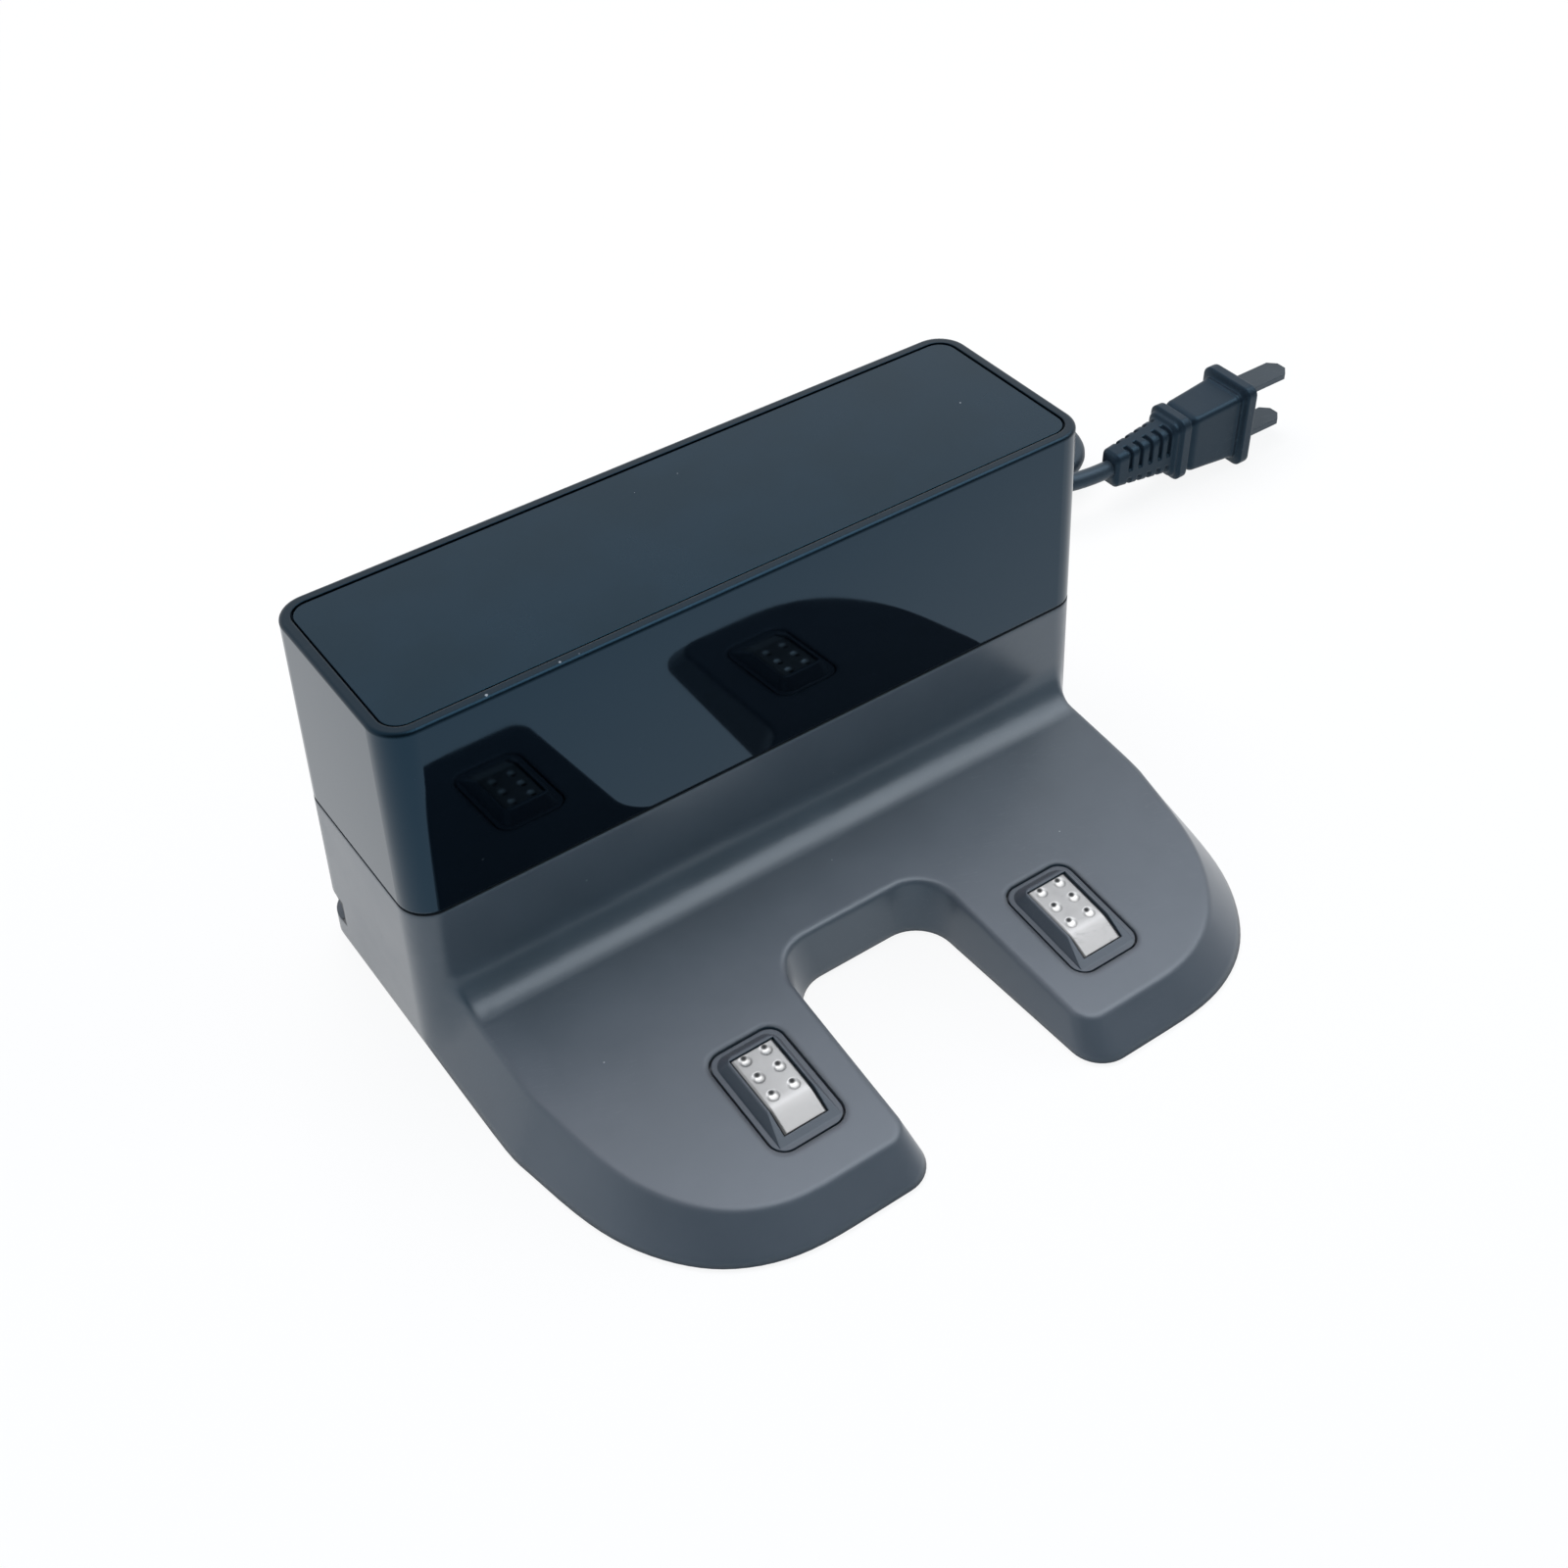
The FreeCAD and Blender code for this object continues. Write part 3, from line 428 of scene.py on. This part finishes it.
def newGroup(name, wants, gives):
    # an empty shader group with its sockets
    group = bpy.data.node_groups.new(name, "ShaderNodeTree")
    for label, kind, value in wants:
        group.interface.new_socket(label, in_out="INPUT", socket_type="NodeSocket" + kind).default_value = value
    for label, kind in gives:
        group.interface.new_socket(label, in_out="OUTPUT", socket_type="NodeSocket" + kind)
    return group, group.nodes.new("NodeGroupInput").outputs, group.nodes.new("NodeGroupOutput").inputs


def math2(tree, operation, first, second=0.0, clamp=False):
    # one sum, product or other operation on two values
    return put(tree, "ShaderNodeMath", {0: first, 1: second}, operation=operation, use_clamp=clamp).outputs[0]


def ramped(tree, value, low, high, start=0.0, end=1.0):
    # smooth step from start to end while a value goes from low to high
    return put(tree, "ShaderNodeMapRange", {0: value, 1: low, 2: high, 3: start, 4: end},
               interpolation_type="SMOOTHSTEP").outputs[0]


def objectPoint(tree):
    # the point in the piece's own metres
    return put(tree, "ShaderNodeTexCoord").outputs["Object"]


def noise(tree, point, scale, detail=2.0, rough=0.5):
    # even noise about a half: ever finer layers, each weaker by rough
    sockets = {"Vector": point, "Scale": scale, "Detail": detail, "Roughness": rough}
    return put(tree, "ShaderNodeTexNoise", sockets).outputs["Fac"]


def makeGrainGroup():
    # moulded grain: seven parts of a fine noise and three of a broad one as height, on a normal that rounds the
    # edges; and a slow noise as tone
    group, wants, gives = newGroup(
        "mouldGrain",
        [("Scale", "Float", 3000.0), ("Depth", "Float", 0.00001), ("Round", "Float", 0.0003)],
        [("Normal", "Vector"), ("Tone", "Float")])
    point = objectPoint(group)
    fine = noise(group, point, wants["Scale"], 2.0)
    broad = noise(group, point, math2(group, "MULTIPLY", wants["Scale"], 0.27), 1.0)
    height = math2(group, "ADD", math2(group, "MULTIPLY", fine, 0.7), math2(group, "MULTIPLY", broad, 0.3))
    bevel = put(group, "ShaderNodeBevel", {"Radius": wants["Round"]}, samples=6).outputs["Normal"]
    bump = put(group, "ShaderNodeBump",
               {"Strength": 1.0, "Distance": wants["Depth"], "Height": height, "Normal": bevel})
    group.links.new(bump.outputs["Normal"], gives["Normal"])
    group.links.new(noise(group, point, 55.0, 4.0, 0.6), gives["Tone"])
    return group


def makeDustGroup():
    # specks: cells whose own random size exceeds the distance to their middle, more of them facing up
    group, wants, gives = newGroup(
        "dustSpecks", [("Scale", "Float", 220.0), ("Size", "Float", 0.07)], [("Mask", "Float")])
    cells = put(group, "ShaderNodeTexVoronoi", {"Vector": objectPoint(group), "Scale": wants["Scale"]})
    chance = put(group, "ShaderNodeSeparateColor", {0: cells.outputs["Color"]}).outputs[0]
    rare = math2(group, "POWER", chance, 6.0)
    reach = math2(group, "MULTIPLY", rare, wants["Size"])
    close = math2(group, "SUBTRACT", reach, cells.outputs["Distance"])
    speck = ramped(group, close, 0.0, 0.02)
    normal = put(group, "ShaderNodeNewGeometry").outputs["Normal"]
    upward = put(group, "ShaderNodeSeparateXYZ", {0: normal}).outputs[2]
    facing = ramped(group, upward, -0.2, 0.9, 0.15, 1.0)
    group.links.new(math2(group, "MULTIPLY", speck, facing), gives["Mask"])
    return group


def makeScuffGroup():
    # hairlines: where a noise that is stretched along one direction lies close to a half, in patches
    group, wants, gives = newGroup(
        "hairlines", [("Turn", "Float", 0.4), ("Scale", "Float", 40.0)], [("Mask", "Float")])
    turned = put(group, "ShaderNodeVectorRotate", {"Vector": objectPoint(group), "Angle": wants["Turn"],
                                                   "Axis": (0.5, 0.3, 0.8)}).outputs[0]
    drawn = put(group, "ShaderNodeVectorMath", {0: turned, 1: (1.0, 26.0, 14.0)}, operation="MULTIPLY").outputs[0]
    streaks = noise(group, drawn, wants["Scale"])
    off = math2(group, "ABSOLUTE", math2(group, "SUBTRACT", streaks, 0.5))
    line = ramped(group, off, 0.0, 0.012, 1.0, 0.0)
    patch = noise(group, objectPoint(group), 38.0)
    group.links.new(math2(group, "MULTIPLY", line, ramped(group, patch, 0.5, 0.68)), gives["Mask"])
    return group


# Small chips on the rim's front edge and one dull spot on the front: place and radius in metres, and how pale.
chips = [((-0.0535, 0.0154, 0.0748), 0.00034, 1.0), ((-0.0400, 0.0154, 0.0748), 0.00030, 0.9),
         ((-0.0364, 0.0153, 0.0748), 0.00024, 0.7), ((-0.0595, 0.0142, 0.0424), 0.00026, 0.06)]


def makeChipGroup():
    # chips: the greatest of smooth falls with distance from each place, ragged by a noise
    group, wants, gives = newGroup("rimChips", [("Ragged", "Float", 0.00016)], [("Mask", "Float")])
    point = objectPoint(group)
    jitter = math2(group, "MULTIPLY", noise(group, point, 2600.0), wants["Ragged"])
    total = 0.0
    for place, radius, pale in chips:
        far = put(group, "ShaderNodeVectorMath", {0: point, 1: place}, operation="DISTANCE").outputs["Value"]
        mask = ramped(group, math2(group, "ADD", far, jitter), radius, radius + 0.00012, pale, 0.0)
        total = math2(group, "MAXIMUM", mask, total)
    group.links.new(total, gives["Mask"])
    return group


# Painted shade: a dark band in the seam between the shells and a dark fill down the cord channel across the back,
# standing in for the shade in the gap and the channel; in metres.
grime = {
    "seam": 0.0353,
    "seamHalf": 0.00033,
    "channelFront": 0.0495,
    "frontSoft": 0.0008,
    "channelZ": 0.0081,
    "channelHalf": 0.0034,
    "channelSoft": 0.0006,
}


def makePaintedRecessShadeGroup():
    # painted shade mask: one within a band of height about the seam, or behind the channel's front and within its
    # height
    group, wants, gives = newGroup("seamGrime", [("Soft", "Float", 0.00012)], [("Mask", "Float")])
    low, high = grime["channelHalf"] - grime["channelSoft"], grime["channelHalf"]
    place = put(group, "ShaderNodeSeparateXYZ", {0: objectPoint(group)}).outputs
    off = math2(group, "ABSOLUTE", math2(group, "SUBTRACT", place[2], grime["seam"]))
    band = ramped(group, off, grime["seamHalf"], math2(group, "ADD", wants["Soft"], grime["seamHalf"]), 1.0, 0.0)
    off = math2(group, "ABSOLUTE", math2(group, "SUBTRACT", place[2], grime["channelZ"]))
    inside = ramped(group, off, low, high, 1.0, 0.0)
    behind = ramped(group, place[1], grime["channelFront"] - grime["frontSoft"], grime["channelFront"])
    group.links.new(math2(group, "MAXIMUM", band, math2(group, "MULTIPLY", inside, behind)), gives["Mask"])
    return group


grainGroup = makeGrainGroup()
grimeGroup = makePaintedRecessShadeGroup()
dustGroup = makeDustGroup()
scuffGroup = makeScuffGroup()
chipGroup = makeChipGroup()


def tinted(tree, amount, first, second):
    # colour mix by a mask
    return put(tree, "ShaderNodeMix", {0: amount, 6: first, 7: second}, data_type="RGBA").outputs[2]


def spotNear(tree, offset, far, middle):
    # squared distance from a spot on a pit's rear line: far squared, less twice the offset by middle, plus middle
    # squared
    across = math2(tree, "SUBTRACT", math2(tree, "MULTIPLY", far, far), math2(tree, "MULTIPLY", offset, 2 * middle))
    return math2(tree, "ADD", across, middle * middle)


# Colours of what lies on a finish (scuffs, dust, chips), of painted shade in the seam and channel and on the metal's
# slope, and of the painted highlight and painted shade in pits.
marks = {
    "scuff": (0.3, 0.32, 0.34, 1.0),
    "dust": (0.45, 0.45, 0.44, 1.0),
    "grime": (0.002, 0.003, 0.004, 1.0),
    "chip": (0.5, 0.52, 0.53, 1.0),
    "wearAndPaintedShade": (0.06, 0.06, 0.058, 1.0),
    "pitPaintedHighlight": (0.95, 0.95, 0.95, 1.0),
    "pitPaintedShade": (0.008, 0.009, 0.010, 1.0),
}


def paintPitShading(tree, colour, start):
    # metal: painted shade from the start of its slope on, dimming the lamp's reflection there; each pit a painted
    # highlight on a spot before its middle and painted shade on one behind it
    uv = put(tree, "ShaderNodeUVMap", uv_map="pits").outputs[0]
    offset, far = put(tree, "ShaderNodeSeparateXYZ", {0: uv}).outputs[:2]
    within = ramped(tree, far, 0.9, 1.02, 1.0, 0.0)
    run = put(tree, "ShaderNodeSeparateXYZ", {0: objectPoint(tree)}).outputs[1]
    # painted shade on the slope
    colour = tinted(tree, ramped(tree, run, start, start + 0.0012, 0.35, 0.0), colour, marks["wearAndPaintedShade"])
    pale = ramped(tree, spotNear(tree, offset, far, -0.3), 0.0, 0.7, 0.9, 0.0)
    dark = ramped(tree, spotNear(tree, offset, far, 0.55), 0.02, 0.42, 0.97, 0.0)
    # painted highlight before each pit's middle, then painted shade behind it
    colour = tinted(tree, math2(tree, "MULTIPLY", pale, within), colour, marks["pitPaintedHighlight"])
    return tinted(tree, math2(tree, "MULTIPLY", dark, within), colour, marks["pitPaintedShade"])


def makeFinish(name, spec):
    # colour between a darker and a lighter shade by tone, then hairlines, dust and other marks over it by their masks,
    # with painted shade in the seam and channel, and on metal painted shade on the slope and painted highlights and
    # shade at the pits; gloss by the same tone, duller by the same masks
    material = bpy.data.materials.new(name)
    material.use_nodes = True
    tree = material.node_tree
    tree.nodes.clear()
    shader = put(tree, "ShaderNodeBsdfPrincipled", {
        "IOR": spec.get("ior", 1.5), "Metallic": spec.get("metallic", 0.0),
        "Specular Tint": (*spec.get("sheen", (1, 1, 1)), 1.0),
        "Coat Weight": spec.get("coat", 0.0), "Coat Roughness": 0.25})
    put(tree, "ShaderNodeOutputMaterial", {"Surface": shader.outputs["BSDF"]})
    grain = put(tree, "ShaderNodeGroup", node_tree=grainGroup)
    grain.inputs["Scale"].default_value = spec["grain"]
    grain.inputs["Depth"].default_value = spec["depth"]
    grain.inputs["Round"].default_value = spec["round"]
    dust = put(tree, "ShaderNodeGroup", node_tree=dustGroup)
    dust.inputs["Size"].default_value = spec["dust"]
    scuff = put(tree, "ShaderNodeGroup", node_tree=scuffGroup)
    scuffed = math2(tree, "MULTIPLY", scuff.outputs["Mask"], spec["scuff"])
    low = (*[c * (1 - spec["vary"]) for c in spec["colour"]], 1.0)
    high = (*[min(1.0, c * (1 + spec["vary"])) for c in spec["colour"]], 1.0)
    colour = tinted(tree, ramped(tree, grain.outputs["Tone"], 0.3, 0.7), low, high)
    colour = tinted(tree, scuffed, colour, marks["scuff"])
    colour = tinted(tree, math2(tree, "MULTIPLY", dust.outputs["Mask"], 0.6), colour, marks["dust"])
    rough = ramped(tree, grain.outputs["Tone"], 0.25, 0.75, *spec["rough"])
    rough = math2(tree, "ADD", rough, scuffed, clamp=True)
    # painted shade on the metal's slope and painted highlights and shade in its pits
    if "pits" in spec:
        colour = paintPitShading(tree, colour, spec["pits"])
    if "rim" in spec:
        # worn rim: rougher and less shiny, with no change of colour
        height = put(tree, "ShaderNodeSeparateXYZ", {0: objectPoint(tree)}).outputs[2]
        wearAndPaintedShade = ramped(tree, height, spec["rim"] - 0.0005, spec["rim"])
        rough = math2(tree, "ADD", rough, math2(tree, "MULTIPLY", wearAndPaintedShade, 0.3), clamp=True)
        tree.links.new(ramped(tree, wearAndPaintedShade, 0.0, 1.0, 0.5, 0.36), shader.inputs["Specular IOR Level"])
    # painted shade in the seam and cord channel (also duller there), and pale chips
    for mark, group in (("grime", grimeGroup), ("chip", chipGroup)):
        if mark in spec:
            mask = put(tree, "ShaderNodeGroup", node_tree=group).outputs["Mask"]
            colour = tinted(tree, math2(tree, "MULTIPLY", mask, spec[mark]), colour, marks[mark])
            rough = math2(tree, "ADD", rough, math2(tree, "MULTIPLY", mask, 0.5), clamp=True)
    tree.links.new(colour, shader.inputs["Base Color"])
    tree.links.new(rough, shader.inputs["Roughness"])
    tree.links.new(grain.outputs["Normal"], shader.inputs["Normal"])
    return material


# One finish per material slot of the record. Colours are linear; vary is the shades' share either way, grain is per
# metre, depth and round are in metres, pits is where a slope starts, from which the metal carries painted shade, and it
# also brings painted highlights and shade at the pits, and rim where the worn rim is, in metres; dust, scuff, chip and
# the painted shade in the seam and channel say how much.
finishes = {
    "upper_shell": {"colour": (0.0003, 0.0004, 0.0007), "vary": 0.2, "rough": (0.02, 0.05),
                    "sheen": (0.132, 0.35, 0.575), "ior": 1.85, "rim": 0.0745, "grain": 900.0, "depth": 0.0000004,
                    "round": 0.0004, "dust": 0.04, "scuff": 0.03, "chip": 0.6, "grime": 0.9},
    "lid_shell": {"colour": (0.003, 0.008, 0.015), "vary": 0.15, "rough": (0.22, 0.28), "sheen": (0.22, 0.62, 0.9),
                  "ior": 1.46, "grain": 3400.0, "depth": 0.000005, "round": 0.0003, "dust": 0.08, "scuff": 0.0},
    "base_shell": {"colour": (0.079, 0.085, 0.096), "vary": 0.05, "rough": (0.28, 0.34), "sheen": (0.6, 0.7, 0.8),
                   "ior": 1.6, "coat": 0.25, "grain": 3000.0, "depth": 0.000007, "round": 0.0016, "dust": 0.08,
                   "scuff": 0.06, "grime": 0.9},
    "underside": {"colour": (0.030, 0.033, 0.038), "vary": 0.1, "rough": (0.5, 0.6), "grain": 2200.0, "depth": 0.00002,
                  "round": 0.0003, "dust": 0.1, "scuff": 0.2},
    "foot_rubber": {"colour": (0.012, 0.012, 0.013), "vary": 0.25, "rough": (0.7, 0.85), "grain": 2600.0,
                    "depth": 0.00003, "round": 0.0003, "dust": 0.2, "scuff": 0.2},
    "carrier_plastic": {"colour": (0.068, 0.073, 0.083), "vary": 0.06, "rough": (0.30, 0.36), "sheen": (0.7, 0.8, 0.9),
                        "grain": 3000.0, "depth": 0.000006, "round": 0.0003, "dust": 0.08, "scuff": 0.08},
    "contact_metal": {"colour": (0.30, 0.304, 0.312), "vary": 0.14, "rough": (0.26, 0.38), "metallic": 1.0,
                      "pits": -0.0372, "grain": 2500.0, "depth": 0.000006, "round": 0.00025, "dust": 0.06,
                      "scuff": 0.2},
    "spring_steel": {"colour": (0.55, 0.55, 0.56), "vary": 0.1, "rough": (0.25, 0.35), "metallic": 1.0, "grain": 2500.0,
                     "depth": 0.000002, "round": 0.0001, "dust": 0.0, "scuff": 0.1},
    "terminal_brass": {"colour": (0.72, 0.55, 0.28), "vary": 0.1, "rough": (0.25, 0.4), "metallic": 1.0,
                       "grain": 2500.0, "depth": 0.000003, "round": 0.0001, "dust": 0.0, "scuff": 0.2},
    "wire_insulation": {"colour": (0.05, 0.02, 0.02), "vary": 0.1, "rough": (0.4, 0.5), "grain": 2500.0,
                        "depth": 0.000004, "round": 0.0001, "dust": 0.0, "scuff": 0.1},
    "board_laminate": {"colour": (0.02, 0.09, 0.04), "vary": 0.15, "rough": (0.35, 0.5), "grain": 1800.0,
                       "depth": 0.000006, "round": 0.0001, "dust": 0.0, "scuff": 0.1},
    "component_plastic": {"colour": (0.03, 0.03, 0.032), "vary": 0.15, "rough": (0.4, 0.55), "grain": 2400.0,
                          "depth": 0.00001, "round": 0.0002, "dust": 0.0, "scuff": 0.1},
    "capacitor_sleeve": {"colour": (0.02, 0.03, 0.08), "vary": 0.1, "rough": (0.25, 0.35), "grain": 1200.0,
                         "depth": 0.000003, "round": 0.0003, "dust": 0.0, "scuff": 0.1},
    "emitter_lens": {"colour": (0.02, 0.02, 0.04), "vary": 0.1, "rough": (0.05, 0.1), "grain": 1200.0,
                     "depth": 0.000001, "round": 0.0001, "dust": 0.0, "scuff": 0.0},
    "screw_steel": {"colour": (0.42, 0.42, 0.43), "vary": 0.12, "rough": (0.28, 0.42), "metallic": 1.0, "grain": 2600.0,
                    "depth": 0.000004, "round": 0.00015, "dust": 0.05, "scuff": 0.3},
    "gland_plastic": {"colour": (0.014, 0.018, 0.023), "vary": 0.1, "rough": (0.4, 0.5), "grain": 2600.0,
                      "depth": 0.000008, "round": 0.0003, "dust": 0.05, "scuff": 0.1},
    "cord_sheath": {"colour": (0.020, 0.028, 0.036), "vary": 0.12, "rough": (0.36, 0.48), "sheen": (0.5, 0.75, 1.0),
                    "grain": 2200.0, "depth": 0.000008, "round": 0.0001, "dust": 0.1, "scuff": 0.1},
    "tie_strap": {"colour": (0.010, 0.012, 0.015), "vary": 0.15, "rough": (0.6, 0.75), "grain": 1600.0,
                  "depth": 0.00003, "round": 0.0002, "dust": 0.1, "scuff": 0.1},
    "plug_plastic": {"colour": (0.010, 0.015, 0.022), "vary": 0.1, "rough": (0.36, 0.46), "sheen": (0.35, 0.7, 1.0),
                     "ior": 1.42, "grain": 2600.0, "depth": 0.000008, "round": 0.0002, "dust": 0.08, "scuff": 0.08},
    "blade_metal": {"colour": (0.062, 0.078, 0.095), "vary": 0.1, "rough": (0.32, 0.42), "metallic": 1.0,
                    "grain": 2500.0, "depth": 0.000003, "round": 0.0003, "dust": 0.04, "scuff": 0.2},
}
made = {slot: makeFinish(slot.replace("_", "-"), spec) for slot, spec in finishes.items()}

# Each CAD node takes its slot's finish.
slotOf = {row["node"]: row["material_slot"] for row in frame["record"]["subparts"]}
for name, obj in nodes.items():
    finish = made[slotOf[name]]
    for place in obj.material_slots:
        place.material = finish
cordPiece.data.materials.append(made["cord_sheath"])
plugPiece.data.materials.append(made["plug_plastic"])
strapPiece.data.materials.append(made["tie_strap"])
for piece in platePieces:
    piece.data.materials.append(made["contact_metal"])
print("finishes made")


def seenRays(tree):
    # one for rays from the eye, from a mirror or through glass, nought for all others
    path = put(tree, "ShaderNodeLightPath").outputs
    seen = math2(tree, "MAXIMUM", path["Is Camera Ray"], path["Is Glossy Ray"])
    return math2(tree, "MAXIMUM", seen, path["Is Transmission Ray"])


# Stage, in metres: the floor's half width, drop below the feet, shade and white share, and from where to where it
# turns wholly white to the eye; the surroundings' fill light and their dimness and its reach towards the front.
stage = {
    "half": 4.0,
    "drop": 0.0001,
    "shade": (0.8, 0.8, 0.8, 1.0),
    "whiteShare": 0.9,
    "whiten": (0.2, 0.7),
    "fill": (0.15, 0.36, 0.50, 1.0),
    "white": (1.0, 1.0, 1.0, 1.0),
    "dim": 0.22,
    "dimReach": (-0.5, 0.3),
}


def makeFloor(spec):
    # pale floor, far wider than the view; to the eye and in mirrors most of it is plain white, so the shadow stays
    # faint; wholly white to the eye far off, where it meets the surroundings; clear from below
    half = spec["half"]
    mesh = bpy.data.meshes.new("floor")
    mesh.from_pydata([(-half, -half, 0), (half, -half, 0), (half, half, 0), (-half, half, 0)], [], [(0, 1, 2, 3)])
    floor = bpy.data.objects.new("floor", mesh)
    floor.location.z = -spec["drop"]
    scene.collection.objects.link(floor)
    material = bpy.data.materials.new("floor")
    material.use_nodes = True
    tree = material.node_tree
    tree.nodes.clear()
    matt = put(tree, "ShaderNodeBsdfDiffuse", {"Color": spec["shade"]})
    white = put(tree, "ShaderNodeEmission", {"Color": spec["white"], "Strength": 1.0})
    away = put(tree, "ShaderNodeVectorMath", {0: objectPoint(tree)}, operation="LENGTH").outputs["Value"]
    eyeRay = put(tree, "ShaderNodeLightPath").outputs["Is Camera Ray"]
    plain = math2(tree, "MULTIPLY", eyeRay, ramped(tree, away, *spec["whiten"], spec["whiteShare"], 1.0))
    share = math2(tree, "MAXIMUM", math2(tree, "MULTIPLY", seenRays(tree), spec["whiteShare"]), plain)
    both = put(tree, "ShaderNodeMixShader", {0: share, 1: matt.outputs[0], 2: white.outputs[0]})
    below = put(tree, "ShaderNodeNewGeometry").outputs["Backfacing"]
    clear = put(tree, "ShaderNodeBsdfTransparent")
    whole = put(tree, "ShaderNodeMixShader", {0: below, 1: both.outputs[0], 2: clear.outputs[0]})
    put(tree, "ShaderNodeOutputMaterial", {"Surface": whole.outputs[0]})
    mesh.materials.append(material)


def makeWorld(spec):
    # white to the eye; in reflections white behind and above, dimmer towards the front; as light a weak, cool fill
    world = bpy.data.worlds.new("surroundings")
    world.use_nodes = True
    tree = world.node_tree
    tree.nodes.clear()
    way = put(tree, "ShaderNodeSeparateXYZ", {0: put(tree, "ShaderNodeTexCoord").outputs["Generated"]}).outputs
    level = ramped(tree, way[1], *spec["dimReach"], spec["dim"], 1.0)
    eyeRay = put(tree, "ShaderNodeLightPath").outputs["Is Camera Ray"]
    level = math2(tree, "MAXIMUM", level, eyeRay)
    colour = tinted(tree, seenRays(tree), spec["fill"], spec["white"])
    strength = math2(tree, "MAXIMUM", level, math2(tree, "SUBTRACT", 1.0, seenRays(tree)))
    light = put(tree, "ShaderNodeBackground", {"Color": colour, "Strength": strength})
    put(tree, "ShaderNodeOutputWorld", {"Surface": light.outputs[0]})
    scene.world = world


# Lamps, in metres and watts: the overhead and side ones light without mirror images, the card is a mirror image alone.
lamps = {
    "overheadLamp": {"place": (0.0, 0.42, 1.05), "aim": (0.0, 0.0, 0.0), "size": 0.8, "power": 13.6,
                     "colour": (1.0, 0.89, 0.90), "hiddenFrom": "visible_glossy"},
    "sideLamp": {"place": (0.90, -0.25, 0.32), "aim": (0.05, -0.05, 0.02), "size": 0.6, "power": 4.5,
                 "colour": (1.0, 0.97, 0.95), "hiddenFrom": "visible_glossy"},
    "frontCard": {"place": (0.42, -0.15, 0.92), "aim": (0.0, 0.0, 0.02), "size": 0.8, "power": 6.2,
                  "colour": (1.0, 1.0, 1.0), "hiddenFrom": "visible_diffuse"},
}


def makeLamp(name, spec):
    # square soft lamp turned from its place to its aim: yaw and pitch are the angles of the way between them
    data = bpy.data.lights.new(name, "AREA")
    data.color = spec["colour"]
    data.size = spec["size"]
    data.energy = spec["power"]
    lamp = bpy.data.objects.new(name, data)
    lamp.location = spec["place"]
    heading = np.array(spec["aim"]) - np.array(spec["place"])
    yaw = math.atan2(heading[1], heading[0]) - math.pi / 2
    pitch = math.atan2(math.hypot(heading[0], heading[1]), -heading[2])
    lamp.rotation_euler = (pitch, 0.0, yaw)
    setattr(lamp, spec["hiddenFrom"], False)
    scene.collection.objects.link(lamp)


makeFloor(stage)
makeWorld(stage)
for name, spec in lamps.items():
    makeLamp(name, spec)
scene.view_settings.view_transform = "Standard"
print("stage lit")
